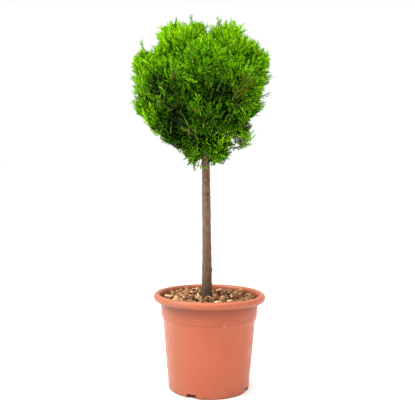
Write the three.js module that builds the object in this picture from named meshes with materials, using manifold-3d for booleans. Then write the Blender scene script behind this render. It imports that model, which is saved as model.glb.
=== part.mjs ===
// A standard-trained conifer: a clipped ball of fern-like foliage on a clear stem, growing in
// a plastic nursery pot that is topped with bark mulch.
//
// Millimetres, +Z up. The origin is the middle of the pot's underside, on the ground, and the
// plant's best side faces -Y. A "bearing" is an angle in degrees round the vertical, counted
// from the front (-Y) towards +X.

import * as THREE from 'three';
import { mergeVertices } from 'three/addons/utils/BufferGeometryUtils.js';
import Module from 'manifold-3d';

const wasm = await Module();
wasm.setup();

// ---- Driving dimensions ----------------------------------------------------------------

const GAP = 0.3; // clearance kept between neighbouring solids

// Pot
const POT_HEIGHT = 270;
const RIM_RADIUS = 160;
const MOUTH_RADIUS = 141;
const RIM_ROLL_HEIGHT = 21;
const BAND_TOP_RADIUS = 139.8; // the plain band under the rolled rim
const BAND_FOOT_RADIUS = 136;
const STEP_HEIGHT = 202; // where the band steps in to the body
const STEP_DROP = 12;
const BODY_TOP_RADIUS = 131.4;
const BODY_FOOT_RADIUS = 120.4; // just above the foot band
const FOOT_BAND_HEIGHT = 54;
const FOOT_BAND_RADIUS = 118.6;
const FOOT_RADIUS = 115.2;
const FOOT_CHAMFER = 3;
const WALL = 2.8;
const FLOOR_LIFT = 9; // the floor stands this far above the ground
const FLOOR_THICKNESS = 4;
const FOOT_RING_WIDTH = 8;
const BOSS_RADIUS = 24; // pad in the middle of the underside
const POT_SEGMENTS = 32;

const NOTCH_COUNT = 4;
const NOTCH_FIRST_BEARING = -25;
const NOTCH_WIDTH_LOW = 27;
const NOTCH_WIDTH_HIGH = 18;
const NOTCH_HEIGHT = 9;
const DRAIN_RADIUS = 7;
const DRAIN_REACH = 92;

// Soil and mulch
const SOIL_TOP = 235;
const MULCH_TOP = 253;
const MULCH_UNEVENNESS = 2.2;

// Trunk: height, place across (X), place in depth (Y), radius
const TRUNK = [
  [SOIL_TOP + GAP, -7.4, 0, 16.6],
  [256, -7.5, 0, 14.4],
  [300, -7.8, 0, 13.7],
  [385, -8.5, 1, 12.6],
  [471, -10.8, 3, 12.3],
  [540, -12.3, 2, 11.7],
  [610, -13.8, 0, 11.3],
  [700, -17, -1, 10.2],
  [800, -22, 2, 7.6],
  [905, -27, 4, 4.2],
];
const TRUNK_SIDES = 12;
const TRUNK_STEPS = 13;

// Bare heart of the crown, inside the shell of foliage: height and radius round the trunk
const HEART = [
  [606, 0],
  [606, 19],
  [680, 22],
  [740, 40],
  [800, 56],
  [860, 44],
  [892, 0],
];
const HEART_SIDES = 8;
const HEART_X = -20;

// Boughs
const BOUGH_SIDES = 6;
const BOUGH_STEPS = 3;
const BOUGH_TIP_SHARE = 0.55; // tip radius over foot radius
const BOUGH_SOCKET = 5; // how far a bough reaches into its mass of foliage
const BOUGH_RISE = 0.55; // how steeply a bough leaves the trunk, against its reach

// Masses of foliage: place of the middle, half sizes along X, Y and Z, and the bough that
// carries it, by the height where that leaves the trunk and by its radius there.
const MASSES = [
  { name: 'top_left', middle: [-82, -22, 958], half: [82, 78, 77], bough: [846, 5.2] },
  { name: 'top_right', middle: [38, -20, 962], half: [76, 78, 78], bough: [858, 5.2] },
  { name: 'top_back', middle: [-20, 76, 950], half: [88, 78, 80], bough: [870, 4.8] },
  { name: 'upper_front', middle: [-22, -108, 904], half: [72, 62, 68], bough: [822, 5] },
  { name: 'side_left', middle: [-161, 4, 878], half: [63, 84, 96], bough: [770, 6] },
  { name: 'side_right', middle: [105, 6, 903], half: [64, 86, 82], bough: [792, 6] },
  { name: 'front_left', middle: [-104, -110, 842], half: [70, 62, 74], bough: [752, 5.4] },
  { name: 'front_right', middle: [54, -112, 846], half: [74, 62, 74], bough: [780, 5.4] },
  { name: 'back_left', middle: [-106, 106, 850], half: [78, 72, 84], bough: [760, 5.6] },
  { name: 'back_right', middle: [58, 110, 856], half: [78, 72, 82], bough: [800, 5.6] },
  { name: 'low_left', middle: [-125, -6, 784], half: [70, 74, 72], bough: [712, 5.4] },
  { name: 'low_right', middle: [87, 8, 812], half: [61, 76, 51], bough: [730, 5.4] },
  { name: 'low_front', middle: [-24, -92, 774], half: [80, 62, 68], bough: [722, 5] },
  { name: 'low_back', middle: [-20, 94, 768], half: [86, 68, 68], bough: [738, 5] },
  { name: 'spur_right', middle: [87, -16, 725], half: [37, 42, 38], bough: [676, 4.2] },
  { name: 'tuft_left', middle: [-54, -8, 700], half: [44, 46, 66], bough: [652, 4] },
  { name: 'tuft_right', middle: [26, -8, 688], half: [35, 44, 48], bough: [662, 4] },
  { name: 'tuft_back', middle: [-16, 54, 700], half: [46, 42, 46], bough: [668, 4] },
];
const MASS_DETAIL = 2;
const SMALL_MASS_DETAIL = 1;
const SMALL_MASS = 56; // a mass with a smaller mean half size takes the coarser detail
const MASS_UNEVENNESS = 0.07;
const CUTTER = 700; // side of the block that trims a mass to its side of a plane

// ---- Materials -------------------------------------------------------------------------

function finish(color, roughness) {
  return new THREE.MeshStandardMaterial({ color, roughness, metalness: 0 });
}

const potPlastic = () => finish(0xdc7a5e, 0.5);
const soilCrumb = () => finish(0x3a2a1e, 0.95);
const barkChips = () => finish(0xb98a5c, 0.9);
const trunkBark = () => finish(0x7a5f4c, 0.9);
const boughBark = () => finish(0x6b4a33, 0.9);
const foliage = () => finish(0x4c8a10, 0.75);

// ---- Solids ----------------------------------------------------------------------------

// Turns a closed three.js geometry into a manifold solid, leaving out its empty triangles.
function solidFrom(geometry) {
  const bare = geometry.clone();
  bare.deleteAttribute('normal');
  bare.deleteAttribute('uv');
  const merged = mergeVertices(bare, 1e-4);
  const corners = merged.index.array;
  const kept = [];
  for (let i = 0; i < corners.length; i += 3) {
    const [a, b, c] = [corners[i], corners[i + 1], corners[i + 2]];
    if (a !== b && b !== c && c !== a) {
      kept.push(a, b, c);
    }
  }
  return new wasm.Manifold(new wasm.Mesh({
    numProp: 3,
    vertProperties: new Float32Array(merged.attributes.position.array),
    triVerts: new Uint32Array(kept),
  }));
}

function geometryFrom(solid) {
  const mesh = solid.getMesh();
  const geometry = new THREE.BufferGeometry();
  geometry.setAttribute('position', new THREE.BufferAttribute(mesh.vertProperties, 3));
  geometry.setIndex(new THREE.BufferAttribute(mesh.triVerts, 1));
  geometry.computeVertexNormals();
  return geometry;
}

function namedMesh(name, solid, material) {
  const mesh = new THREE.Mesh(geometryFrom(solid), material);
  mesh.name = name;
  return mesh;
}

// Spins a profile of (radius, height) points round the Z axis.
function spun(points, segments) {
  return new THREE.LatheGeometry(points, segments).rotateX(Math.PI / 2);
}

// The unit direction of a bearing.
function bearingDirection(degrees) {
  const angle = THREE.MathUtils.degToRad(degrees);
  return new THREE.Vector3(Math.sin(angle), -Math.cos(angle), 0);
}

// ---- Pot -------------------------------------------------------------------------------

// The wall's outer radius and height, from the foot up to the underside of the rim roll.
function wallStations() {
  const rollFoot = POT_HEIGHT - RIM_ROLL_HEIGHT;
  return [
    [FOOT_RADIUS, FOOT_CHAMFER],
    [FOOT_BAND_RADIUS, FOOT_BAND_HEIGHT - 4],
    [BODY_FOOT_RADIUS, FOOT_BAND_HEIGHT + 4],
    [BODY_TOP_RADIUS, STEP_HEIGHT - STEP_DROP],
    [BAND_FOOT_RADIUS, STEP_HEIGHT],
    [BAND_TOP_RADIUS, rollFoot],
  ].map(([radius, height]) => new THREE.Vector2(radius, height));
}

function innerStations() {
  return wallStations()
    .filter((station) => station.y > FLOOR_LIFT + FLOOR_THICKNESS)
    .map((station) => new THREE.Vector2(station.x - WALL, station.y));
}

function innerRadiusAt(height) {
  const stations = [new THREE.Vector2(FOOT_RADIUS - WALL, FOOT_CHAMFER), ...innerStations()];
  const above = Math.max(1, stations.findIndex((station) => station.y >= height));
  const [low, high] = [stations[above - 1], stations[above]];
  return THREE.MathUtils.mapLinear(height, low.y, high.y, low.x, high.x);
}

// The rolled rim's section: an ellipse from its underside round the outside to the mouth.
function rimRoll() {
  const halfWidth = (RIM_RADIUS - MOUTH_RADIUS) / 2;
  const roll = new THREE.EllipseCurve(
    RIM_RADIUS - halfWidth, POT_HEIGHT - RIM_ROLL_HEIGHT / 2,
    halfWidth, RIM_ROLL_HEIGHT / 2,
    THREE.MathUtils.degToRad(-140), THREE.MathUtils.degToRad(190), false,
  );
  return roll.getPoints(8);
}

function potProfile() {
  const floorTop = FLOOR_LIFT + FLOOR_THICKNESS;
  const ringInside = FOOT_RADIUS - FOOT_CHAMFER - FOOT_RING_WIDTH;
  const underside = [
    [0, 0],
    [BOSS_RADIUS, 0],
    [BOSS_RADIUS + 3, FLOOR_LIFT],
    [ringInside, FLOOR_LIFT],
    [ringInside, 0],
    [FOOT_RADIUS - FOOT_CHAMFER, 0],
  ].map(([radius, height]) => new THREE.Vector2(radius, height));
  const inside = [
    ...innerStations().reverse(),
    new THREE.Vector2(innerRadiusAt(floorTop), floorTop),
    new THREE.Vector2(0, floorTop),
  ];
  return [...underside, ...wallStations(), ...rimRoll(), ...inside];
}

// A trapezium block, lying on its back, that cuts one drainage notch through the foot ring.
function notchCutter(bearing) {
  const below = 1;
  const [low, high] = [NOTCH_WIDTH_LOW / 2, NOTCH_WIDTH_HIGH / 2];
  const outline = new THREE.Shape([
    new THREE.Vector2(-low, -below),
    new THREE.Vector2(low, -below),
    new THREE.Vector2(high, NOTCH_HEIGHT),
    new THREE.Vector2(-high, NOTCH_HEIGHT),
  ]);
  const depth = FOOT_RING_WIDTH + 24;
  const block = new THREE.ExtrudeGeometry(outline, { depth, bevelEnabled: false, steps: 1 });
  block.rotateX(Math.PI / 2);
  block.translate(0, -(FOOT_RADIUS - FOOT_RING_WIDTH - 12), 0);
  return block.rotateZ(THREE.MathUtils.degToRad(bearing));
}

function drainCutter(bearing) {
  const hole = new THREE.CylinderGeometry(DRAIN_RADIUS, DRAIN_RADIUS, 20, 12);
  hole.rotateX(Math.PI / 2);
  const place = bearingDirection(bearing).multiplyScalar(DRAIN_REACH);
  return hole.translate(place.x, place.y, FLOOR_LIFT);
}

function makePot() {
  let pot = solidFrom(spun(potProfile(), POT_SEGMENTS));
  for (let i = 0; i < NOTCH_COUNT; i += 1) {
    const bearing = NOTCH_FIRST_BEARING + (360 / NOTCH_COUNT) * i;
    pot = pot.subtract(solidFrom(notchCutter(bearing)));
    pot = pot.subtract(solidFrom(drainCutter(bearing)));
  }
  return pot;
}

// ---- Soil and mulch --------------------------------------------------------------------

function makeSoil() {
  const bottom = FLOOR_LIFT + FLOOR_THICKNESS + GAP;
  const wall = innerStations()
    .filter((station) => station.y > bottom && station.y < SOIL_TOP)
    .map((station) => [station.x - GAP, station.y]);
  const profile = [
    [0, bottom],
    [innerRadiusAt(bottom) - GAP, bottom],
    ...wall,
    [innerRadiusAt(SOIL_TOP) - GAP, SOIL_TOP],
    [0, SOIL_TOP],
  ].map(([radius, height]) => new THREE.Vector2(radius, height));
  return solidFrom(spun(profile, POT_SEGMENTS / 2));
}

// A layer of bark chips: a disc with a rough top, laid round the trunk.
function makeMulch(trunk) {
  const bottom = SOIL_TOP + GAP;
  const edge = innerRadiusAt(bottom) - 2 * GAP;
  const profile = [
    [0, bottom],
    [edge, bottom],
    [edge + 1.5, MULCH_TOP - 5],
    [edge - 4, MULCH_TOP - 1],
    [edge * 0.8, MULCH_TOP],
    [edge * 0.6, MULCH_TOP],
    [edge * 0.4, MULCH_TOP],
    [edge * 0.2, MULCH_TOP],
    [0, MULCH_TOP],
  ].map(([radius, height]) => new THREE.Vector2(radius, height));
  const disc = spun(profile, POT_SEGMENTS / 2);
  const place = disc.attributes.position;
  for (let i = 0; i < place.count; i += 1) {
    if (place.getZ(i) > MULCH_TOP - 2) {
      const wave = Math.sin(place.getX(i) * 0.13) + Math.cos(place.getY(i) * 0.17 + 1.3);
      place.setZ(i, place.getZ(i) + MULCH_UNEVENNESS * 0.5 * wave);
    }
  }
  return solidFrom(disc).subtract(trunk);
}

// ---- Trunk and boughs -------------------------------------------------------------------

// A closed, tapering limb along a curve; radiusAt gives its radius at each share of the way.
function limb(curve, radiusAt, sides, steps) {
  const tube = new THREE.CylinderGeometry(1, 1, 1, sides, steps);
  const frames = curve.computeFrenetFrames(steps, false);
  const place = tube.attributes.position;
  const spoke = new THREE.Vector3();
  for (let i = 0; i < place.count; i += 1) {
    const step = Math.round((place.getY(i) + 0.5) * steps);
    const share = step / steps;
    spoke.set(0, 0, 0);
    spoke.addScaledVector(frames.normals[step], place.getX(i));
    spoke.addScaledVector(frames.binormals[step], -place.getZ(i));
    const point = curve.getPointAt(share).addScaledVector(spoke, radiusAt(share));
    place.setXYZ(i, point.x, point.y, point.z);
  }
  return tube;
}

function trunkCurve() {
  const points = TRUNK.map(([height, x, y]) => new THREE.Vector3(x, y, height));
  return new THREE.CatmullRomCurve3(points);
}

function trunkStationAt(height) {
  const found = TRUNK.findIndex((station) => station[0] >= height);
  const above = found < 0 ? TRUNK.length - 1 : Math.max(1, found);
  const [low, high] = [TRUNK[above - 1], TRUNK[above]];
  const share = (height - low[0]) / (high[0] - low[0]);
  const [, x, y, radius] = low.map((value, i) => THREE.MathUtils.lerp(value, high[i], share));
  return { centre: new THREE.Vector3(x, y, height), radius };
}

// The trunk, with extra thickness all round where it serves to cut its neighbours clear. Its
// foot is trimmed level, so that it stands on the soil with its whole cut face.
function makeTrunk(extra) {
  const curve = trunkCurve();
  const radiusAt = (share) => trunkStationAt(curve.getPointAt(share).z).radius + extra;
  const whole = solidFrom(limb(curve, radiusAt, TRUNK_SIDES, TRUNK_STEPS));
  const ground = new THREE.BoxGeometry(CUTTER, CUTTER, CUTTER);
  ground.translate(0, 0, SOIL_TOP + GAP + 0.5 - CUTTER / 2);
  return extra > 0 ? whole : whole.subtract(solidFrom(ground));
}

// A bough's course: out of the trunk, rising, to the middle of its mass.
function boughCurve(mass) {
  const foot = trunkStationAt(mass.bough[0]).centre;
  const reach = mass.centre.clone().sub(foot);
  const level = Math.hypot(reach.x, reach.y);
  const elbow = foot.clone().addScaledVector(reach, 0.4);
  elbow.z = foot.z + Math.max(0.3 * reach.z, BOUGH_RISE * 0.4 * level);
  return new THREE.QuadraticBezierCurve3(foot, elbow, mass.centre);
}

// The share of a bough's course at which it has just entered its mass.
function entryShare(mass, curve) {
  const length = curve.getLength();
  let share = 0;
  while (share < 0.9 && !holds(mass, curve.getPointAt(share))) {
    share += 1 / length;
  }
  return Math.min(0.95, share + BOUGH_SOCKET / length);
}

function makeBough(mass, extra) {
  const course = boughCurve(mass);
  const end = entryShare(mass, course);
  const points = [];
  for (let i = 0; i <= BOUGH_STEPS; i += 1) {
    points.push(course.getPointAt((end * i) / BOUGH_STEPS));
  }
  const radiusAt = (share) => mass.bough[1] * (1 - (1 - BOUGH_TIP_SHARE) * share) + extra;
  return solidFrom(limb(new THREE.CatmullRomCurve3(points), radiusAt, BOUGH_SIDES, BOUGH_STEPS));
}

// ---- Foliage ---------------------------------------------------------------------------

// How far the surface of a mass stands out in a direction, as a share of its half size.
function bulge(mass, direction) {
  const { x, y, z } = direction;
  const turn = mass.turn;
  const broad = Math.sin(2.3 * x + turn) * Math.cos(2.7 * y - 1.4 * turn) + Math.sin(2.9 * z + 2 * turn);
  const fine = Math.sin(5.3 * x - turn + 2 * y) * Math.sin(4.7 * z + 3 * turn - 2.2 * y);
  return 1 + MASS_UNEVENNESS * (0.6 * broad + 0.7 * fine);
}

// The sphere power of a point against a mass, which decides between two that overlap.
function power(mass, point) {
  return point.distanceToSquared(mass.centre) - mass.mean ** 2;
}

function insideHeart(point) {
  const above = HEART.findIndex((station) => station[0] >= point.z);
  if (above < 1 || point.z < HEART[0][0]) {
    return false;
  }
  const [low, high] = [HEART[above - 1], HEART[above]];
  const radius = THREE.MathUtils.mapLinear(point.z, low[0], high[0], low[1], high[1]);
  return Math.hypot(point.x - HEART_X, point.y) < radius;
}

function holds(mass, point) {
  const local = point.clone().sub(mass.centre).divide(mass.size);
  if (insideHeart(point) || local.length() > bulge(mass, local.clone().normalize())) {
    return false;
  }
  return masses.every((other) => power(mass, point) <= power(other, point));
}

function rawMass(mass) {
  const detail = mass.mean < SMALL_MASS ? SMALL_MASS_DETAIL : MASS_DETAIL;
  const ball = new THREE.IcosahedronGeometry(1, detail);
  const place = ball.attributes.position;
  const direction = new THREE.Vector3();
  for (let i = 0; i < place.count; i += 1) {
    direction.fromBufferAttribute(place, i).normalize();
    const point = direction.clone().multiplyScalar(bulge(mass, direction));
    point.multiply(mass.size).add(mass.centre);
    place.setXYZ(i, point.x, point.y, point.z);
  }
  return solidFrom(ball);
}

// A block that takes away all of a mass that lies nearer to its neighbour.
function dividingBlock(mass, other) {
  const across = other.centre.clone().sub(mass.centre);
  const distance = across.length();
  const reach = (distance ** 2 + mass.mean ** 2 - other.mean ** 2) / (2 * distance);
  const block = new THREE.BoxGeometry(CUTTER, CUTTER, CUTTER);
  block.translate(0, 0, CUTTER / 2);
  across.normalize();
  const turn = new THREE.Quaternion().setFromUnitVectors(new THREE.Vector3(0, 0, 1), across);
  block.applyQuaternion(turn);
  const place = mass.centre.clone().addScaledVector(across, reach - GAP / 2);
  return block.translate(place.x, place.y, place.z);
}

function makeHeart() {
  const profile = HEART.map(([height, radius]) => new THREE.Vector2(radius, height));
  return solidFrom(spun(profile, HEART_SIDES).translate(HEART_X, 0, 0));
}

function overlap(mass, other) {
  const reach = Math.max(...mass.half) + Math.max(...other.half);
  return mass !== other && mass.centre.distanceTo(other.centre) < 1.3 * reach;
}

function makeMass(mass, clearances) {
  let solid = rawMass(mass);
  for (const other of masses.filter((candidate) => overlap(mass, candidate))) {
    solid = solid.subtract(solidFrom(dividingBlock(mass, other)));
  }
  for (const clearance of clearances) {
    solid = solid.subtract(clearance);
  }
  return solid;
}

// ---- The plant -------------------------------------------------------------------------

const masses = MASSES.map((entry, i) => ({
  ...entry,
  centre: new THREE.Vector3(...entry.middle),
  size: new THREE.Vector3(...entry.half),
  mean: (entry.half[0] + entry.half[1] + entry.half[2]) / 3,
  turn: 1.7 * i,
}));

const plant = new THREE.Group();
const trunk = makeTrunk(0);
const trunkClearance = makeTrunk(GAP);

plant.add(namedMesh('pot', makePot(), potPlastic()));
plant.add(namedMesh('soil', makeSoil(), soilCrumb()));
plant.add(namedMesh('bark_mulch', makeMulch(trunkClearance), barkChips()));
plant.add(namedMesh('trunk', trunk, trunkBark()));

let laid = trunkClearance;
const boughClearances = [];
for (const mass of masses) {
  plant.add(namedMesh(`bough_${mass.name}`, makeBough(mass, 0).subtract(laid), boughBark()));
  const clearance = makeBough(mass, GAP);
  boughClearances.push(clearance);
  laid = laid.add(clearance);
}

const clearances = [makeHeart(), trunkClearance, ...boughClearances];
for (const mass of masses) {
  plant.add(namedMesh(`foliage_${mass.name}`, makeMass(mass, clearances), foliage()));
}

export default plant;
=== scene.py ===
"""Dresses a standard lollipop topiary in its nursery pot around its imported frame.

The pot, mulch and trunk are modelled at the frame's sizes. Each mass of foliage is replaced by growth:
boughs fork towards the shoots that reach its surface, and every shoot carries flat, fern-like sprays.
"""

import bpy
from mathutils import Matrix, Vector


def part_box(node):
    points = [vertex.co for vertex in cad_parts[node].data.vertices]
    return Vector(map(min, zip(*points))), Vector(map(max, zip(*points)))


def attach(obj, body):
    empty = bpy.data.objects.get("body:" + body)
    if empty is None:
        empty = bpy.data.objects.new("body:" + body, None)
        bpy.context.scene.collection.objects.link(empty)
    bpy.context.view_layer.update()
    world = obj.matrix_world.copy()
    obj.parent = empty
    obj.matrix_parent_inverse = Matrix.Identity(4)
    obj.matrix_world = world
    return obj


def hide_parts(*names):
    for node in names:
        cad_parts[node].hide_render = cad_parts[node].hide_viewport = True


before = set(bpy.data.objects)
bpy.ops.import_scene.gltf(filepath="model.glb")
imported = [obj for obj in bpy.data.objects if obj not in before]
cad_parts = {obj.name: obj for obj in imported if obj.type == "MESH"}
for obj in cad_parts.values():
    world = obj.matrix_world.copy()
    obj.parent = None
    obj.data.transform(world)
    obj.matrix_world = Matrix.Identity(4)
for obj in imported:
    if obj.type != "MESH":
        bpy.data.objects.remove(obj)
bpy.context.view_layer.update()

import logging
import math
from collections.abc import Callable, Iterable, Sequence
from dataclasses import dataclass, field
from enum import Enum, IntEnum

import bpy
import numpy as np
from mathutils import Matrix, Vector, noise
from mathutils.bvhtree import BVHTree

LOG = logging.getLogger("topiary")
MM = 0.001
SEED = 20431
UP = np.array((0.0, 0.0, 1.0))

Colour = tuple[float, float, float, float]
Piece = bpy.types.Object
Material = bpy.types.Material
Socket = bpy.types.NodeSocket


# ---- Small helpers ----


def shade(red: int, green: int, blue: int) -> Colour:
    """The linear colour of a red, green and blue given from 0 to 255."""
    shares = [part / 255 for part in (red, green, blue)]
    return (*(s / 12.92 if s <= 0.04045 else ((s + 0.055) / 1.055) ** 2.4 for s in shares), 1.0)


def unit(vector: np.ndarray) -> np.ndarray:
    """The vector, or each row of vectors, at length one."""
    return vector / np.maximum(np.linalg.norm(vector, axis=-1, keepdims=True), 1e-12)


def smooth_share(value: float, low: float, high: float) -> float:
    """How far a value lies from low to high, eased at both ends, from 0 to 1."""
    share = min(max((value - low) / (high - low), 0.0), 1.0)
    return share * share * (3 - 2 * share)


def bearing(degrees: float) -> Vector:
    """The level direction at a bearing from the front, turning towards +X."""
    angle = math.radians(degrees)
    return Vector((math.sin(angle), -math.cos(angle), 0.0))


def deselect_everything() -> None:
    """Leaves edit mode and deselects every object."""
    if bpy.context.object and bpy.context.object.mode != "OBJECT":
        bpy.ops.object.mode_set(mode="OBJECT")
    bpy.ops.object.select_all(action="DESELECT")


def settle(piece: Piece, smooth_angle: float = 38.0) -> None:
    """Puts a piece's place into its mesh, turns its faces outwards and smooths its gentle edges.

    Args:
        piece: The object to finish.
        smooth_angle: Edges that turn less than this many degrees are shaded smooth.
    """
    deselect_everything()
    piece.select_set(True)
    bpy.context.view_layer.objects.active = piece
    bpy.ops.object.transform_apply(location=True, rotation=True, scale=True)
    bpy.ops.object.mode_set(mode="EDIT")
    bpy.ops.mesh.select_all(action="SELECT")
    bpy.ops.mesh.normals_make_consistent(inside=False)
    bpy.ops.object.mode_set(mode="OBJECT")
    bpy.ops.object.shade_smooth_by_angle(angle=math.radians(smooth_angle))
    piece.select_set(False)


def report(piece: Piece) -> None:
    """Logs a piece's name and its number of triangles."""
    piece.data.calc_loop_triangles()
    LOG.info("%s: %d triangles", piece.name, len(piece.data.loop_triangles))


def place_on_frame(
    piece: Piece, slot: str, *nodes: str, materials: Iterable[Material] = ()
) -> Piece:
    """Dresses a piece, rides it on the one body and hides the frame nodes that it replaces.

    Args:
        piece: The finished object.
        slot: Not used.
        nodes: The frame nodes that it replaces.
        materials: The materials for its slots, in order.

    Returns:
        The same piece.
    """
    for material in materials:
        piece.data.materials.append(material)
    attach(piece, "root")
    if nodes:
        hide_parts(*nodes)
    report(piece)
    return piece


# ---- Node wiring ----


class Wiring:
    """Short calls that add nodes to a node tree and join them."""

    def __init__(self, tree: bpy.types.NodeTree) -> None:
        """Wires the given tree."""
        self.tree = tree

    def feed(self, socket: Socket, value: object) -> None:
        """Links an output to a socket, or sets the socket's own value.

        Args:
            socket: The input to feed.
            value: Another node's output, or a plain value.
        """
        if isinstance(value, Socket):
            self.tree.links.new(value, socket)
        else:
            socket.default_value = value

    def node(self, kind: str, inputs: dict | None = None, **settings: object) -> bpy.types.Node:
        """Adds a node.

        Args:
            kind: The node's type name.
            inputs: Values or outputs for its sockets, by name or index.
            settings: Its other properties.

        Returns:
            The new node.
        """
        made = self.tree.nodes.new(kind)
        for name, value in settings.items():
            setattr(made, name, value)
        for socket, value in (inputs or {}).items():
            self.feed(made.inputs[socket], value)
        return made

    def blend(self, mask: object, under: object, over: object, mode: str = "MIX") -> Socket:
        """Mixes two colours.

        Args:
            mask: How far the upper colour shows, from 0 to 1.
            under: The lower colour.
            over: The upper colour.
            mode: How the two mix.

        Returns:
            The mixed colour.
        """
        made = self.node("ShaderNodeMix", data_type="RGBA", blend_type=mode)
        for index, value in ((0, mask), (6, under), (7, over)):
            self.feed(made.inputs[index], value)
        return made.outputs[2]

    def times(self, first: object, second: object) -> Socket:
        """The product of two values, kept from 0 to 1."""
        made = self.node("ShaderNodeMath", {0: first, 1: second}, operation="MULTIPLY", use_clamp=True)
        return made.outputs[0]

    def plus(self, first: object, second: object) -> Socket:
        """The sum of two values, kept from 0 to 1."""
        made = self.node("ShaderNodeMath", {0: first, 1: second}, operation="ADD", use_clamp=True)
        return made.outputs[0]

    def spread(self, value: object, low: float, high: float, start: float = 0, end: float = 1) -> Socket:
        """A value eased from low to high, given out from start to end."""
        ranged = {"Value": value, "From Min": low, "From Max": high, "To Min": start, "To Max": end}
        return self.node("ShaderNodeMapRange", ranged, interpolation_type="SMOOTHSTEP").outputs[0]

    def height(self, coordinates: Socket) -> Socket:
        """The Z of coordinates."""
        return self.node("ShaderNodeSeparateXYZ", {0: coordinates}).outputs["Z"]

    def near(self, coordinates: Socket, point: Sequence[float], reach: float) -> Socket:
        """A soft round mask, 1 at a point and 0 from reach metres away."""
        gap = self.node("ShaderNodeVectorMath", {0: coordinates, 1: tuple(point)}, operation="DISTANCE")
        return self.spread(gap.outputs["Value"], reach * 0.35, reach, 1.0, 0.0)


class Effect(Enum):
    """The surface effects that several finishes share."""

    MOTTLE = "soft_mottle"
    FIBRE = "long_fibre"
    GRIT = "fine_grit"


def effect_sockets(tree: bpy.types.NodeTree, names: Sequence[str], outputs: Sequence[str]) -> Wiring:
    """Gives a group its sockets.

    Args:
        tree: The group.
        names: Its number inputs, which follow its Vector input.
        outputs: Its number outputs.

    Returns:
        The group's wiring.
    """
    tree.interface.new_socket(name="Vector", in_out="INPUT", socket_type="NodeSocketVector")
    for name in names:
        tree.interface.new_socket(name=name, in_out="INPUT", socket_type="NodeSocketFloat")
    for name in outputs:
        tree.interface.new_socket(name=name, in_out="OUTPUT", socket_type="NodeSocketFloat")
    return Wiring(tree)


def effect_group(effect: Effect) -> bpy.types.NodeTree:
    """The shader node group of a shared effect, built the first time it is asked for.

    Args:
        effect: Which effect.

    Returns:
        The group: MOTTLE gives soft blotches, FIBRE long streaks up the Z axis and GRIT fine grains.
    """
    if effect.value in bpy.data.node_groups:
        return bpy.data.node_groups[effect.value]
    tree = bpy.data.node_groups.new(effect.value, "ShaderNodeTree")
    inputs = {
        Effect.MOTTLE: ("Scale", "Contrast"),
        Effect.FIBRE: ("Across", "Along"),
        Effect.GRIT: ("Scale",),
    }[effect]
    wiring = effect_sockets(tree, inputs, ("Mask",))
    given = wiring.node("NodeGroupInput").outputs
    if effect is Effect.MOTTLE:
        blotches = wiring.node(
            "ShaderNodeTexNoise", {"Vector": given["Vector"], "Scale": given["Scale"], "Detail": 4.0}
        )
        centred = wiring.node("ShaderNodeMath", {0: blotches.outputs[0], 1: 0.5}, operation="SUBTRACT")
        mask = wiring.node(
            "ShaderNodeMath",
            {0: centred.outputs[0], 1: given["Contrast"], 2: 0.5},
            operation="MULTIPLY_ADD",
            use_clamp=True,
        )
    elif effect is Effect.FIBRE:
        stretch = wiring.node(
            "ShaderNodeCombineXYZ", {"X": given["Across"], "Y": given["Across"], "Z": given["Along"]}
        )
        drawn = wiring.node(
            "ShaderNodeVectorMath", {0: given["Vector"], 1: stretch.outputs[0]}, operation="MULTIPLY"
        )
        streaks = wiring.node(
            "ShaderNodeTexNoise",
            {"Vector": drawn.outputs[0], "Scale": 1.0, "Detail": 5.0, "Roughness": 0.62, "Distortion": 0.5},
        )
        mask = wiring.node(
            "ShaderNodeMapRange", {"Value": streaks.outputs[0], "From Min": 0.3, "From Max": 0.7}
        )
    else:
        grains = wiring.node(
            "ShaderNodeTexVoronoi", {"Vector": given["Vector"], "Scale": given["Scale"], "Randomness": 1.0}
        )
        mask = wiring.node(
            "ShaderNodeMapRange", {"Value": grains.outputs["Distance"], "From Min": 0.75, "From Max": 0.05}
        )
    wiring.node("NodeGroupOutput", {"Mask": mask.outputs[0]})
    return tree


class Recipe(Wiring):
    """One material's nodes round its Principled shader."""

    def __init__(self, name: str, roughness: float, specular: float = 0.5) -> None:
        """Starts a material.

        Args:
            name: The material's name.
            roughness: Its plain roughness.
            specular: Its plain specular level.
        """
        self.material = bpy.data.materials.new(name)
        self.material.use_nodes = True
        super().__init__(self.material.node_tree)
        self.shader = self.tree.nodes["Principled BSDF"]
        self.shader.inputs["Roughness"].default_value = roughness
        self.shader.inputs["Specular IOR Level"].default_value = specular
        self.place = self.node("ShaderNodeTexCoord").outputs["Object"]

    def effect(self, effect: Effect, **values: float) -> Socket:
        """Places a shared effect on this material's own coordinates.

        Args:
            effect: Which effect.
            values: Its number inputs, by name in lower case.

        Returns:
            The effect's mask.
        """
        group = self.node("ShaderNodeGroup", node_tree=effect_group(effect))
        self.feed(group.inputs["Vector"], self.place)
        for name, value in values.items():
            group.inputs[name.capitalize()].default_value = value
        return group.outputs["Mask"]

    def bump(
        self, height: Socket, depth: float, strength: float = 1.0, under: Socket | None = None
    ) -> Socket:
        """Raises the surface by a mask.

        Args:
            height: The mask.
            depth: How far it raises the surface, in metres.
            strength: The share of that which shows.
            under: An earlier bump's normal, which this one is laid over.

        Returns:
            The bump's normal.
        """
        made = self.node("ShaderNodeBump", {"Height": height, "Distance": depth, "Strength": strength})
        if under is not None:
            self.feed(made.inputs["Normal"], under)
        self.feed(self.shader.inputs["Normal"], made.outputs[0])
        return made.outputs[0]

    def finish(self, colour: object, roughness: object | None = None) -> Material:
        """Feeds the shader and ends the recipe.

        Args:
            colour: The base colour.
            roughness: The roughness, where it changes over the surface.

        Returns:
            The material.
        """
        self.feed(self.shader.inputs["Base Color"], colour)
        if roughness is not None:
            self.feed(self.shader.inputs["Roughness"], roughness)
        return self.material


# ---- Finishes ----


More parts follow.
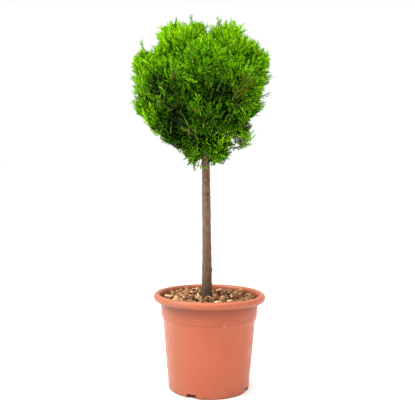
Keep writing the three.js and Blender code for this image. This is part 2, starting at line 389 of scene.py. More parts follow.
@dataclass(frozen=True)
class Blemish:
    """One small mark on the pot's wall: its bearing and height, its size and its colour."""

    bearing: float
    height: float
    reach: float
    colour: Colour


@dataclass(frozen=True)
class PotPlastic:
    """Satin terracotta plastic with flow marks, a dulled foot, painted shade under the rim and painted
    shade and sheen at left.
    """

    clay: Colour = shade(170, 80, 46)
    warm: Colour = shade(176, 86, 51)
    # Pale dust, also used as a painted highlight on the top of the rim.
    dust_and_highlight: Colour = shade(175, 112, 84)
    seam: Colour = shade(122, 52, 32)
    # Painted shade: the dark clay that the band under the rim turns to, in place of the rim's shadow.
    painted_rim_shade: Colour = shade(64, 14, 4)
    # Painted shade and sheen: a duller, less red clay for the pot's left side, where the left softbox
    # falls.
    left_shade_and_sheen: Colour = shade(157, 82, 50)
    step_height: float = 202 * MM
    rim_height: float = 248 * MM
    wall_radius: float = 134 * MM
    # Where across the pot the painted shade and sheen of the left side fades out.
    shade_and_sheen_span: tuple[float, float] = (-95 * MM, -15 * MM)
    haze_height: float = 60 * MM
    # How far down the painted shade under the rim reaches, over the band and in the corner under the roll.
    band_shade: float = 78 * MM
    corner_shade: float = 30 * MM
    blemishes: tuple[Blemish, ...] = (
        Blemish(17, 203 * MM, 3 * MM, shade(202, 118, 86)),
        Blemish(27, 206 * MM, 2.2 * MM, shade(200, 112, 80)),
        Blemish(-7.5, 126 * MM, 2.6 * MM, shade(150, 66, 42)),
        Blemish(-38, 88 * MM, 2.4 * MM, shade(206, 122, 88)),
        Blemish(148, 160 * MM, 3.4 * MM, shade(208, 124, 92)),
        Blemish(205, 71 * MM, 2.8 * MM, shade(150, 68, 44)),
    )

    def build(self) -> Material:
        """Builds the pot's material.

        Returns:
            The material.
        """
        recipe = Recipe("pot_plastic", roughness=0.44, specular=0.34)
        flow = recipe.effect(Effect.MOTTLE, scale=14.0, contrast=2.4)
        cloud = recipe.effect(Effect.MOTTLE, scale=52.0, contrast=3.0)
        specks = recipe.effect(Effect.GRIT, scale=900.0)
        height = recipe.height(recipe.place)
        colour = recipe.blend(flow, self.clay, self.warm)
        # Painted shade and sheen: the left side turns duller and less red against the left softbox's light.
        across = recipe.node("ShaderNodeSeparateXYZ", {0: recipe.place}).outputs["X"]
        colour = recipe.blend(recipe.spread(across, *self.shade_and_sheen_span, 0.8, 0.0), colour, self.left_shade_and_sheen)
        haze = recipe.times(cloud, recipe.spread(height, 0.0, self.haze_height, 0.30, 0.07))
        colour = recipe.blend(haze, colour, self.dust_and_highlight)
        above = recipe.spread(height, self.step_height - 1.2 * MM, self.step_height + 0.2 * MM)
        below = recipe.spread(height, self.step_height + 0.4 * MM, self.step_height + 2.2 * MM, 1.0, 0.0)
        seam = recipe.times(recipe.times(above, below), 0.55)
        colour = recipe.blend(seam, colour, self.seam)
        # Painted shade under the rim: the band and the corner under the roll darken towards the dark clay,
        # standing in for the rim's shadow.
        band = recipe.spread(height, self.rim_height - self.band_shade, self.rim_height, 0.0, 0.16)
        corner = recipe.spread(
            height, self.rim_height - self.corner_shade, self.rim_height - 2 * MM, 0.0, 0.26
        )
        clear = recipe.spread(height, self.rim_height + 1 * MM, self.rim_height + 14 * MM, 1.0, 0.0)
        painted_rim_shade = recipe.times(recipe.plus(band, corner), clear)
        colour = recipe.blend(painted_rim_shade, colour, self.painted_rim_shade)
        # The top of the roll turns towards the pale dust colour: dust and a painted highlight where the top
        # light falls.
        worn = recipe.spread(height, self.rim_height + 2 * MM, self.rim_height + 9 * MM, 0.0, 0.3)
        colour = recipe.blend(worn, colour, self.dust_and_highlight)
        for mark in self.blemishes:
            point = bearing(mark.bearing) * self.wall_radius + Vector((0, 0, mark.height))
            colour = recipe.blend(recipe.near(recipe.place, point, mark.reach * 1.6), colour, mark.colour)
        roughness = recipe.spread(cloud, 0.0, 1.0, 0.36, 0.50)
        recipe.bump(specks, 0.05 * MM, 0.35, recipe.bump(flow, 0.5 * MM, 0.3))
        return recipe.finish(colour, roughness)


@dataclass(frozen=True)
class PottingMix:
    """Dark, damp potting mix with pale grit."""

    peat: Colour = shade(52, 36, 26)
    crumb: Colour = shade(88, 64, 46)
    grit: Colour = shade(150, 134, 116)

    def build(self) -> Material:
        """Builds the soil's material.

        Returns:
            The material.
        """
        recipe = Recipe("potting_mix", roughness=0.95, specular=0.2)
        clods = recipe.effect(Effect.MOTTLE, scale=90.0, contrast=4.0)
        grains = recipe.effect(Effect.GRIT, scale=260.0)
        colour = recipe.blend(clods, self.peat, self.crumb)
        colour = recipe.blend(recipe.spread(grains, 0.86, 0.96), colour, self.grit)
        recipe.bump(grains, 1.2 * MM, 0.8, recipe.bump(clods, 3 * MM, 0.8))
        return recipe.finish(colour)


@dataclass(frozen=True)
class BarkFines:
    """The crushed bark that fills between the chips."""

    dark: Colour = shade(28, 17, 10)
    light: Colour = shade(74, 49, 30)

    def build(self) -> Material:
        """Builds the mulch bed's material.

        Returns:
            The material.
        """
        recipe = Recipe("bark_fines", roughness=0.95, specular=0.2)
        shreds = recipe.effect(Effect.GRIT, scale=210.0)
        patches = recipe.effect(Effect.MOTTLE, scale=70.0, contrast=4.5)
        colour = recipe.blend(recipe.times(shreds, patches), self.dark, self.light)
        recipe.bump(shreds, 1.6 * MM, 0.9)
        return recipe.finish(colour)


@dataclass(frozen=True)
class ChipWood:
    """One tint of bark chip: torn, grained wood from a dark to a light side."""

    name: str
    dark: Colour
    light: Colour

    def build(self) -> Material:
        """Builds the chips' material in this tint.

        Returns:
            The material.
        """
        recipe = Recipe(f"chip_{self.name}", roughness=0.85, specular=0.25)
        grain = recipe.effect(Effect.FIBRE, across=420.0, along=160.0)
        patches = recipe.effect(Effect.MOTTLE, scale=95.0, contrast=3.2)
        pale = recipe.times(recipe.plus(grain, 0.25), patches)
        colour = recipe.blend(pale, self.dark, self.light)
        recipe.bump(grain, 0.6 * MM, 0.8)
        return recipe.finish(colour)


@dataclass(frozen=True)
class Bark:
    """Fibrous conifer bark: pale worn ridges over brown fissures, algae on one side and a damp foot."""

    name: str
    fissure: Colour
    ridge: Colour
    rust: Colour
    algae: Colour = shade(102, 96, 72)
    damp: Colour = shade(54, 41, 32)
    damp_foot: float = 250 * MM
    damp_top: float = 330 * MM
    algae_side: tuple[float, float] = (-19 * MM, -6 * MM)
    scar: tuple[float, float, float] | None = None
    scar_reach: float = 3.6 * MM
    scar_colour: Colour = shade(200, 152, 120)

    def build(self) -> Material:
        """Builds the bark's material, which reads the height of the relief from the attribute ridge.

        Returns:
            The material.
        """
        recipe = Recipe(self.name, roughness=0.85, specular=0.25)
        relief = recipe.node("ShaderNodeAttribute", attribute_name="ridge").outputs["Fac"]
        fibre = recipe.effect(Effect.FIBRE, across=900.0, along=70.0)
        patches = recipe.effect(Effect.MOTTLE, scale=38.0, contrast=3.4)
        worn = recipe.plus(recipe.times(relief, 0.75), recipe.times(fibre, 0.4))
        colour = recipe.blend(worn, self.fissure, self.ridge)
        colour = recipe.blend(recipe.spread(patches, 0.45, 1.0, 0.0, 0.55), colour, self.rust)
        across = recipe.node("ShaderNodeSeparateXYZ", {0: recipe.place}).outputs["X"]
        weather_side = recipe.spread(across, *self.algae_side, 0.5, 0.0)
        growth = recipe.times(weather_side, recipe.spread(patches, 0.2, 0.8, 1.0, 0.4))
        colour = recipe.blend(growth, colour, self.algae)
        foot = recipe.spread(recipe.height(recipe.place), self.damp_foot, self.damp_top, 0.6, 0.0)
        colour = recipe.blend(foot, colour, self.damp)
        if self.scar:
            mark = recipe.near(recipe.place, self.scar, self.scar_reach)
            colour = recipe.blend(mark, colour, self.scar_colour)
        recipe.bump(fibre, 0.5 * MM, 0.8)
        return recipe.finish(colour, recipe.spread(relief, 0.0, 1.0, 0.94, 0.76))


class Tint(IntEnum):
    """The plain greens that are dealt out by spray, lit and shaded copies from painted shade to painted
    light, and two odd tints.
    """

    SHADE = 0
    DEEP = 1
    DIM = 2
    MID = 3
    FRESH = 4
    BRIGHT = 5
    LIGHT = 6
    LIME = 7
    OLIVE = 8
    BRONZE = 9


# Lit and shaded copies of one green: the dark end is painted shade, the light end painted light on fresh
# growth.
LEAF_COLOURS = {
    Tint.SHADE: shade(12, 26, 0),
    Tint.DEEP: shade(27, 54, 0),
    Tint.DIM: shade(45, 86, 0),
    Tint.MID: shade(65, 118, 0),
    Tint.FRESH: shade(86, 150, 1),
    Tint.BRIGHT: shade(114, 180, 2),
    Tint.LIGHT: shade(145, 207, 4),
    Tint.LIME: shade(178, 228, 12),
    Tint.OLIVE: shade(92, 96, 14),
    Tint.BRONZE: shade(212, 158, 98),
}


class Wood(IntEnum):
    """The plain colours of the growth that carries the sprays."""

    BRANCH = 0
    TWIG = 1
    GREEN = 2


WOOD_COLOURS = {
    Wood.BRANCH: shade(84, 66, 50),
    Wood.TWIG: shade(100, 78, 46),
    Wood.GREEN: shade(112, 154, 40),
}


def plain_material(name: str, colour: Colour, roughness: float) -> Material:
    """Builds a material of one colour, for the many small shapes of sprays and twigs.

    Args:
        name: The material's name.
        colour: Its base colour.
        roughness: Its roughness.

    Returns:
        The material.
    """
    recipe = Recipe(name, roughness, specular=0.08)
    recipe.tree.nodes.remove(recipe.place.node)
    return recipe.finish(colour)


# ---- Shapes ----


def loft(name: str, rings: Sequence[tuple[Vector, float]], sides: int) -> Piece:
    """Extrudes one ring through level stations into a shape that is closed at both ends.

    Args:
        name: The new object's name.
        rings: Each station's centre and radius, in metres.
        sides: The vertices of the ring.

    Returns:
        The new object, with its place not yet in its mesh.
    """
    deselect_everything()
    centre, radius = rings[0]
    bpy.ops.mesh.primitive_circle_add(vertices=sides, radius=radius, location=centre, fill_type="NGON")
    piece = bpy.context.object
    piece.name = piece.data.name = name
    bpy.ops.object.mode_set(mode="EDIT")
    bpy.ops.mesh.select_all(action="SELECT")
    for next_centre, next_radius in rings[1:]:
        bpy.ops.mesh.extrude_region_move(TRANSFORM_OT_translate={"value": next_centre - centre})
        size = next_radius / radius
        bpy.ops.transform.resize(value=(size, size, 1.0), center_override=next_centre)
        centre, radius = next_centre, next_radius
    bpy.ops.object.mode_set(mode="OBJECT")
    return piece


def cut_away(piece: Piece, cutter: Piece) -> None:
    """Takes a cutter's volume out of a piece.

    Args:
        piece: The object that is cut.
        cutter: The object that cuts it, which is removed.
    """
    deselect_everything()
    bpy.context.view_layer.objects.active = piece
    cut = piece.modifiers.new("cut", "BOOLEAN")
    cut.operation, cut.solver, cut.object = "DIFFERENCE", "EXACT", cutter
    bpy.ops.object.modifier_apply(modifier=cut.name)
    bpy.data.objects.remove(cutter)


@dataclass
class Triangles:
    """Loose triangles in millimetres: corners, faces as rows of three corners, and each face's material."""

    corners: np.ndarray
    faces: np.ndarray
    materials: np.ndarray

    @staticmethod
    def joined(parts: Sequence["Triangles"]) -> "Triangles":
        """Joins some parts.

        Args:
            parts: The parts, in order.

        Returns:
            All of them as one.
        """
        starts = np.cumsum([0] + [len(part.corners) for part in parts[:-1]])
        return Triangles(
            np.concatenate([part.corners for part in parts]),
            np.concatenate([part.faces + start for part, start in zip(parts, starts)]),
            np.concatenate([part.materials for part in parts]),
        )

    def to_object(self, name: str) -> Piece:
        """Makes an object of the triangles, in metres.

        Args:
            name: Its name.

        Returns:
            The new object.
        """
        mesh = bpy.data.meshes.new(name)
        mesh.vertices.add(len(self.corners))
        mesh.vertices.foreach_set("co", (self.corners * MM).astype(np.float32).ravel())
        mesh.loops.add(len(self.faces) * 3)
        mesh.loops.foreach_set("vertex_index", self.faces.astype(np.int32).ravel())
        mesh.polygons.add(len(self.faces))
        mesh.polygons.foreach_set("loop_start", np.arange(0, len(self.faces) * 3, 3, dtype=np.int32))
        mesh.polygons.foreach_set("material_index", self.materials.astype(np.int32))
        mesh.update(calc_edges=True)
        made = bpy.data.objects.new(name, mesh)
        bpy.context.scene.collection.objects.link(made)
        return made


class Tubes:
    """Tapering closed tubes, gathered for one mesh."""

    def __init__(self) -> None:
        """Starts with no tubes."""
        self.parts: list[Triangles] = []

    def add(
        self,
        path: np.ndarray,
        radii: np.ndarray,
        sides: int,
        material: int,
        relief: Callable[[np.ndarray], np.ndarray] | None = None,
    ) -> None:
        """Adds a tube along a path.

        Args:
            path: The points that it follows, one row each, in millimetres.
            radii: Its radius at each point.
            sides: The corners of its section.
            material: Its material's index.
            relief: Gives how far each corner stands out from the round, from the corners' places.
        """
        tangents = unit(np.gradient(path, axis=0))
        across = unit(np.cross(tangents, UP if abs(tangents[0][2]) < 0.9 else np.array((1.0, 0.0, 0.0))))
        behind = np.cross(tangents, across)
        turn = np.linspace(0, 2 * math.pi, sides, endpoint=False)
        cosines, sines = np.cos(turn)[None, :, None], np.sin(turn)[None, :, None]
        spokes = across[:, None, :] * cosines + behind[:, None, :] * sines
        rings = path[:, None, :] + spokes * radii[:, None, None]
        if relief is not None:
            rings = rings + spokes * relief(rings)[..., None]
        count = len(path)
        corners = np.concatenate([rings.reshape(-1, 3), path[:1], path[-1:] + tangents[-1:] * radii[-1]])
        here = np.arange(sides)
        beside = (here + 1) % sides
        rows = (np.arange(count - 1) * sides)[:, None]
        low, low_next = here + rows, beside + rows
        high, high_next = low + sides, low_next + sides
        walls = np.concatenate(
            [
                np.stack([low, low_next, high_next], -1).reshape(-1, 3),
                np.stack([low, high_next, high], -1).reshape(-1, 3),
            ]
        )
        start, end = count * sides, count * sides + 1
        foot = np.stack([beside, here, np.full(sides, start)], -1)
        last = (count - 1) * sides
        tip = np.stack([here + last, beside + last, np.full(sides, end)], -1)
        faces = np.concatenate([walls, foot, tip])
        self.parts.append(Triangles(corners, faces, np.full(len(faces), material)))


# ---- Pot ----


@dataclass
class NurseryPot:
    """A moulded pot with a rolled rim, a stepped band, a foot ring with notches and drain holes.

    Lengths are in millimetres. The rim's radius and the height come from the frame.
    """

    sides: int = 112
    mouth_radius: float = 141.0
    roll_height: float = 21.0
    band_top_radius: float = 139.8
    band_foot_radius: float = 136.0
    step_height: float = 202.0
    step_drop: float = 12.0
    body_top_radius: float = 131.4
    body_foot_radius: float = 120.4
    foot_band_height: float = 54.0
    foot_band_radius: float = 118.6
    foot_radius: float = 115.2
    foot_chamfer: float = 3.0
    wall: float = 2.8
    floor_lift: float = 9.0
    floor_thickness: float = 4.0
    foot_ring_width: float = 8.0
    boss_radius: float = 24.0
    notch_bearings: tuple[float, ...] = (-24, 66, 156, 246)
    notch_widths: tuple[float, float] = (32, 26)
    notch_height: float = 11.5
    vent_offset: float = 17.5
    vent_width: float = 15.0
    vent_height: float = 4.0
    drain_radius: float = 7.0
    drain_reach: float = 92.0
    finish: PotPlastic = PotPlastic()

    def __post_init__(self) -> None:
        """Reads the pot's outer size from the frame."""
        low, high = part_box("pot")
        self.height = high.z / MM
        self.rim_radius = (high.x - low.x) / 2 / MM

    def outer_wall(self) -> list[tuple[float, float]]:
        """Lists the wall's outside from the foot's chamfer up to the rim's underside.

        Returns:
            The radius and height of each corner.
        """
        step_foot = self.step_height - self.step_drop
        return [
            (self.foot_radius, self.foot_chamfer),
            (self.foot_band_radius - 0.1, self.foot_band_height - 5),
            (self.foot_band_radius + 0.5, self.foot_band_height - 1.5),
            (self.body_foot_radius - 0.5, self.foot_band_height + 1.5),
            (self.body_foot_radius + 0.2, self.foot_band_height + 5),
            (self.body_top_radius, step_foot),
            (self.body_top_radius + 0.5, step_foot + 2.5),
            (self.band_foot_radius - 1.4, self.step_height - 1.6),
            (self.band_foot_radius - 0.3, self.step_height - 0.6),
            (self.band_foot_radius, self.step_height + 0.8),
            (self.band_top_radius, self.height - self.roll_height),
        ]

    def rim_roll(self) -> list[tuple[float, float]]:
        """Lists the rolled rim's section, from its underside round the outside to the mouth.

        Returns:
            The radius and height of each corner.
        """
        half_width, half_height = (self.rim_radius - self.mouth_radius) / 2, self.roll_height / 2
        middle, level = self.rim_radius - half_width, self.height - half_height
        angles = [math.radians(angle) for angle in range(-140, 191, 15)]
        return [
            (middle + half_width * math.cos(angle), level + half_height * math.sin(angle))
            for angle in angles
        ]

    def profile(self) -> list[tuple[float, float]]:
        """Lists the whole section, from the boss underneath round to the floor inside.

        Returns:
            The radius and height of each corner.
        """
        ring_outside = self.foot_radius - self.foot_chamfer
        ring_inside = ring_outside - self.foot_ring_width
        under = [
            (self.boss_radius, 0.0),
            (self.boss_radius + 3.0, self.floor_lift),
            (ring_inside, self.floor_lift),
            (ring_inside, 0.0),
            (ring_outside, 0.0),
            (self.foot_radius - 0.9, 0.9),
        ]
        floor_top = self.floor_lift + self.floor_thickness
        wall = self.outer_wall()
        inside = [(radius - self.wall, height) for radius, height in wall if height > floor_top]
        corner = self.foot_radius - self.wall
        base = [(corner, floor_top + 2), (corner - 2, floor_top), (self.boss_radius, floor_top)]
        return under + wall + self.rim_roll() + inside[::-1] + base

    def notch_cutter(self, at: float, low: float, high: float, tall: float) -> Piece:
        """A block that cuts one notch through the foot ring.

        Args:
            at: The notch's bearing in degrees.
            low: Its width at the ground.
            high: Its width at its top.
            tall: Its height.

        Returns:
            The cutter, in place.
        """
        deselect_everything()
        bpy.ops.mesh.primitive_cube_add(size=1.0, location=(0, 0, 0))
        cutter = bpy.context.object
        depth = (self.foot_ring_width + 24) * MM
        for corner in cutter.data.vertices:
            up = corner.co.z > 0
            corner.co.x *= (high if up else low) * MM
            corner.co.y *= depth
            corner.co.z = tall * MM if up else -2 * MM
        cutter.location = bearing(at) * (self.foot_radius * MM)
        cutter.rotation_euler.z = math.radians(at)
        bpy.ops.object.transform_apply(location=True, rotation=True, scale=True)
        return cutter

    def build(self) -> Piece:
        """Turns the pot, cuts its notches, vents and drain holes, and dresses it.

        Returns:
            The pot.
        """
        rings = [(Vector((0, 0, height * MM)), radius * MM) for radius, height in self.profile()]
        pot = loft("pot_shell", rings, self.sides)
        settle(pot)
        for at in self.notch_bearings:
            cut_away(pot, self.notch_cutter(at, *self.notch_widths, self.notch_height))
            for beside in (at - self.vent_offset, at + self.vent_offset):
                vent = self.notch_cutter(beside, self.vent_width, self.vent_width - 4, self.vent_height)
                cut_away(pot, vent)
            drain = bearing(at) * (self.drain_reach * MM) + Vector((0, 0, self.floor_lift * MM))
            deselect_everything()
            bpy.ops.mesh.primitive_cylinder_add(
                vertices=24, radius=self.drain_radius * MM, depth=30 * MM, location=drain
            )
            cut_away(pot, bpy.context.object)
        settle(pot, 32.0)
        return place_on_frame(pot, "pot_plastic", "pot", materials=[self.finish.build()])


# ---- Mulch ----


CHIP_WOODS = (
    ChipWood("dark", shade(30, 18, 11), shade(66, 42, 27)),
    ChipWood("brown", shade(58, 36, 22), shade(112, 76, 47)),
    ChipWood("rust", shade(84, 44, 26), shade(136, 82, 51)),
    ChipWood("tan", shade(108, 75, 46), shade(158, 111, 69)),
    ChipWood("straw", shade(146, 104, 63), shade(202, 149, 97)),
    ChipWood("cream", shade(194, 154, 112), shade(236, 191, 142)),
)


@dataclass
class BarkMulch:
    """A bed of crushed bark under a loose layer of torn chips. Lengths are in millimetres."""

    chips: int = 1250
    templates: int = 14
    chip_length: tuple[float, float] = (9, 28)
    chip_width: tuple[float, float] = (0.22, 0.52)
    chip_thickness: tuple[float, float] = (0.08, 0.2)
    rings: int = 22
    sides: int = 96
    depth: float = 12.0
    edge_gap: float = 1.0
    trunk_gap: float = 15.0
    cuts: int = 5
    pile: float = 5.0
    steep_share: float = 0.3
    steep_tilt: tuple[float, float] = (25, 80)
    flat_tilt: float = 14
    wood_by_layer: float = 3.2
    wood_foot: float = 0.65
    wood_spread: float = 1.35
    trunk_foot: tuple[float, float] = (-7.5, 0.0)
    rng: np.random.Generator = field(default_factory=lambda: np.random.default_rng(SEED + 1))

    def __post_init__(self) -> None:
        """Reads the bed's size from the frame."""
        low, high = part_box("bark_mulch")
        self.radius = (high.x - low.x) / 2 / MM
        self.top = high.z / MM - 3.0

    def from_trunk(self, x: float, y: float) -> float:
        """How far a place lies from the trunk's middle."""
        return math.hypot(x - self.trunk_foot[0], y - self.trunk_foot[1])

    def surface(self, x: float, y: float) -> float:
        """The bed's height at a place: gently uneven, banked up at the trunk and sunk at the wall.

        Args:
            x: The place across.
            y: The place in depth.

        Returns:
            The height.
        """
        uneven = noise.fractal(Vector((x, y, 3.0)) * 0.028, 0.6, 2.0, 3) * 3.2
        bank = 2.5 * math.exp(-(((self.from_trunk(x, y) - 14) / 22) ** 2))
        sunk = 3.0 * smooth_share(math.hypot(x, y), self.radius - 18, self.radius)
        return self.top + uneven + bank - sunk

    def bed(self) -> Piece:
        """Lofts the crushed bark inwards in rings and makes it uneven.

        Returns:
            The bed.
        """
        radius = (self.radius - self.edge_gap) * MM
        low = Vector((0, 0, (self.top - self.depth) * MM))
        high = Vector((0, 0, self.top * MM))
        shares = [1 - ring / self.rings for ring in range(1, self.rings)]
        rings = [(low, radius * 0.985), (high, radius)] + [(high, radius * share) for share in shares]
        bed = loft("mulch_bed", rings, self.sides)
        settle(bed)
        for corner in bed.data.vertices:
            if corner.co.z > high.z - 0.1 * MM:
                x, y = corner.co.x / MM, corner.co.y / MM
                lumps = noise.noise(Vector((x, y, 0)) * 0.16) * 2.0
                corner.co.z = (self.surface(x, y) + lumps) * MM
        return place_on_frame(bed, "bark_chips", "bark_mulch", materials=[BarkFines().build()])

    def template(self) -> Triangles:
        """Shapes one torn chip: a flat block, broken by slanting cuts and a little bent.

        Returns:
            Its triangles, about 1 unit long.
        """
        deselect_everything()
        bpy.ops.mesh.primitive_cube_add(size=1.0)
        chip = bpy.context.object
        width, thickness = self.rng.uniform(*self.chip_width), self.rng.uniform(*self.chip_thickness)
        bpy.ops.object.mode_set(mode="EDIT")
        bpy.ops.transform.resize(value=(1.0, width, thickness))
        for _ in range(self.cuts):
            bpy.ops.mesh.select_all(action="SELECT")
            angle = self.rng.uniform(0, 2 * math.pi)
            along, across = math.cos(angle), math.sin(angle)
            normal = Vector((along, across, self.rng.uniform(-0.7, 0.7))).normalized()
            reach = self.rng.uniform(0.62, 0.85) * math.hypot(0.5 * along, 0.5 * width * across)
            bpy.ops.mesh.bisect(plane_co=normal * reach, plane_no=normal, use_fill=True, clear_outer=True)
        bpy.ops.mesh.select_all(action="SELECT")
        bpy.ops.mesh.quads_convert_to_tris()
        bpy.ops.object.mode_set(mode="OBJECT")
        settle(chip, 1.0)
        corners = np.array([corner.co for corner in chip.data.vertices])
        bend, twist = self.rng.uniform(-0.55, 0.55), self.rng.uniform(-0.5, 0.5)
        corners[:, 2] += bend * corners[:, 0] ** 2 + twist * corners[:, 0] * corners[:, 1]
        faces = np.array([face.vertices for face in chip.data.polygons])
        bpy.data.objects.remove(chip)
        return Triangles(corners, faces, np.zeros(len(faces), int))

    def open_place(self, length: float) -> tuple[float, float]:
        """Picks a place on the bed that is clear of the trunk.

        Args:
            length: The length of the chip that will lie there.

        Returns:
            The place across and in depth.
        """
        while True:
            reach = math.sqrt(self.rng.uniform(0, 1)) * (self.radius - 4 - length * 0.3)
            angle = self.rng.uniform(0, 2 * math.pi)
            x, y = reach * math.cos(angle), reach * math.sin(angle)
            if self.from_trunk(x, y) > self.trunk_gap + length * 0.25:
                return x, y

    def chip(self, template: Triangles, layer: float) -> Triangles:
        """Lays one chip on the bed.

        Args:
            template: Its shape.
            layer: How high it lies in the pile, from 0 to 1.

        Returns:
            Its triangles in place.
        """
        rng = self.rng
        length = rng.uniform(*self.chip_length) * (1.0 if layer < 0.8 else rng.uniform(0.6, 1.0))
        x, y = self.open_place(length)
        steep = rng.random() < self.steep_share
        tilt = rng.uniform(*self.steep_tilt) if steep else abs(rng.normal(0, self.flat_tilt))
        turn = Matrix.Rotation(rng.uniform(0, 2 * math.pi), 3, "Z")
        turn = turn @ Matrix.Rotation(math.radians(tilt), 3, "X" if rng.random() < 0.5 else "Y")
        size = np.array((length, length * rng.uniform(0.8, 1.25), length * rng.uniform(0.8, 1.3)))
        lift = self.surface(x, y) + 0.5 + self.pile * layer + (2.5 if steep else 0)
        corners = (template.corners * size) @ np.array(turn).T + (x, y, lift)
        wood = round(rng.normal(layer * self.wood_by_layer + self.wood_foot, self.wood_spread))
        wood = int(np.clip(wood, 0, len(CHIP_WOODS) - 1))
        return Triangles(corners, template.faces, np.full(len(template.faces), wood))

    def scatter(self) -> Piece:
        """Deals all the chips over the bed, from the dark ones underneath to the pale ones on top.

        Returns:
            The chips, as one piece.
        """
        shapes = [self.template() for _ in range(self.templates)]
        parts = [self.chip(shapes[index % len(shapes)], index / self.chips) for index in range(self.chips)]
        chips = Triangles.joined(parts).to_object("bark_chips")
        return place_on_frame(chips, "bark_chips", materials=[wood.build() for wood in CHIP_WOODS])

    def build(self) -> None:
        """Makes the bed and the chips."""
        self.bed()
        self.scatter()


# ---- Trunk and boughs ----


def section(node: str, height: float) -> tuple[Vector, float]:
    """The centre and mean radius of a frame node where a level plane cuts it.

    Args:
        node: The node's name.
        height: The plane's height in metres.

    Returns:
        The centre at that height and the radius, in metres.
    """
    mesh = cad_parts[node].data
    points = []
    for edge in mesh.edges:
        a, b = (mesh.vertices[index].co for index in edge.vertices)
        if (a.z - height) * (b.z - height) < 0:
            points.append(a.lerp(b, (height - a.z) / (b.z - a.z)))
    centre = sum(points, Vector()) / len(points)
    return centre, sum((point - centre).length for point in points) / len(points)


@dataclass(frozen=True)
class Knot:
    """A raised or sunk round place on the trunk: bearing, height, reach and rise in millimetres."""

    bearing: float
    height: float
    reach: float
    rise: float


@dataclass
class Trunk:
    """The clear stem and its leader, with fibrous bark in relief. Lengths are in millimetres.

    A band is a ring round the stem, given by its height and its rise.
    """

    sides: int = 48
    spacing: float = 3.0
    fissure_depth: float = 0.9
    fibre_depth: float = 0.35
    swell_depth: float = 0.8
    knots: tuple[Knot, ...] = (
        Knot(92, 335, 6, 2.6),
        Knot(-6, 592, 4.5, -1.2),
        Knot(-40, 470, 7, 1.1),
        Knot(150, 520, 7, 1.6),
        Knot(215, 390, 6, 1.4),
        Knot(20, 415, 6, 0.9),
    )
    bands: tuple[tuple[float, float], ...] = (
        (612, 0.5), (581, -0.8), (566, 0.5), (549, -0.7), (542, 0.7), (536, -0.8),
        (496, 0.5), (471, -0.6), (452, 0.5), (410, -0.6), (352, 0.5), (306, -0.6),
    )
    scar_knot: int = 1
    scar_radius: float = 11.6
    striation: float = 0.3
    stout: float = 1.1
    stout_height: tuple[float, float] = (330, 450)

    def stoutness(self, height: float) -> float:
        """How much thicker the stem is than the frame's at a height."""
        return self.stout * (1 - smooth_share(height, *self.stout_height))

    def relief(self, outward: Vector, height: float, radius: float) -> float:
        """Measures how far the bark stands out at one place.

        Args:
            outward: The level direction of the place.
            height: Its height.
            radius: The stem's radius there.

        Returns:
            The rise over the frame's stem.
        """
        place = outward * radius
        deep = noise.fractal(Vector((place.x * 0.22, place.y * 0.22, height * 0.028)), 0.8, 2.0, 3)
        fine = noise.noise(Vector((place.x * 0.75, place.y * 0.75, height * 0.09 + 40)))
        swell = noise.noise(Vector((place.x * 0.03, place.y * 0.03, height * 0.016 + 9)))
        rise = -abs(deep) * self.fissure_depth * 1.6 + self.fissure_depth * 0.5
        rise += fine * self.fibre_depth + swell * self.swell_depth
        rise += noise.noise(Vector((place.x * 0.05, place.y * 0.05, height * 0.21))) * self.striation
        rise += self.stoutness(height)
        for level, lift in self.bands:
            wander = noise.noise(Vector((place.x * 0.09, place.y * 0.09, level))) * 4
            rise += lift * math.exp(-(((height - level + wander) / 2.8) ** 2))
        for knot in self.knots:
            across = (outward * radius - bearing(knot.bearing) * radius).length / knot.reach
            along = (height - knot.height) / knot.reach
            rise += knot.rise * math.exp(-(across**2) - along**2)
        return rise

    def build(self) -> Piece:
        """Lofts the trunk along the frame's, raises its bark and dresses it.

        Returns:
            The trunk.
        """
        low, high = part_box("trunk")
        count = int((high.z - low.z) / MM / self.spacing)
        heights = [low.z + (high.z - low.z) * (index + 0.02) / (count - 0.96) for index in range(count)]
        rings = [section("trunk", height) for height in heights]
        trunk = loft("trunk_bark", rings, self.sides)
        settle(trunk)
        ridge = trunk.data.attributes.new("ridge", "FLOAT", "POINT")
        values = []
        for corner in trunk.data.vertices:
            station = round((corner.co.z - heights[0]) / (heights[1] - heights[0]))
            centre, radius = rings[int(np.clip(station, 0, count - 1))]
            outward = (corner.co - centre) * Vector((1, 1, 0))
            outward.normalize()
            rise = self.relief(outward, corner.co.z / MM, radius / MM)
            corner.co += outward * rise * min(1.0, radius / (9 * MM)) * MM
            rise -= self.stoutness(corner.co.z / MM)
            values.append(min(max(rise / self.fissure_depth * 0.5 + 0.55, 0.0), 1.0))
        ridge.data.foreach_set("value", np.array(values, np.float32))
        knot = self.knots[self.scar_knot]
        scar = bearing(knot.bearing) * self.scar_radius * MM + section("trunk", knot.height * MM)[0]
        bark = Bark(
            "trunk_bark", shade(66, 46, 35), shade(131, 104, 83), shade(122, 78, 54), scar=tuple(scar)
        )
        return place_on_frame(trunk, "trunk_bark", "trunk", materials=[bark.build()])


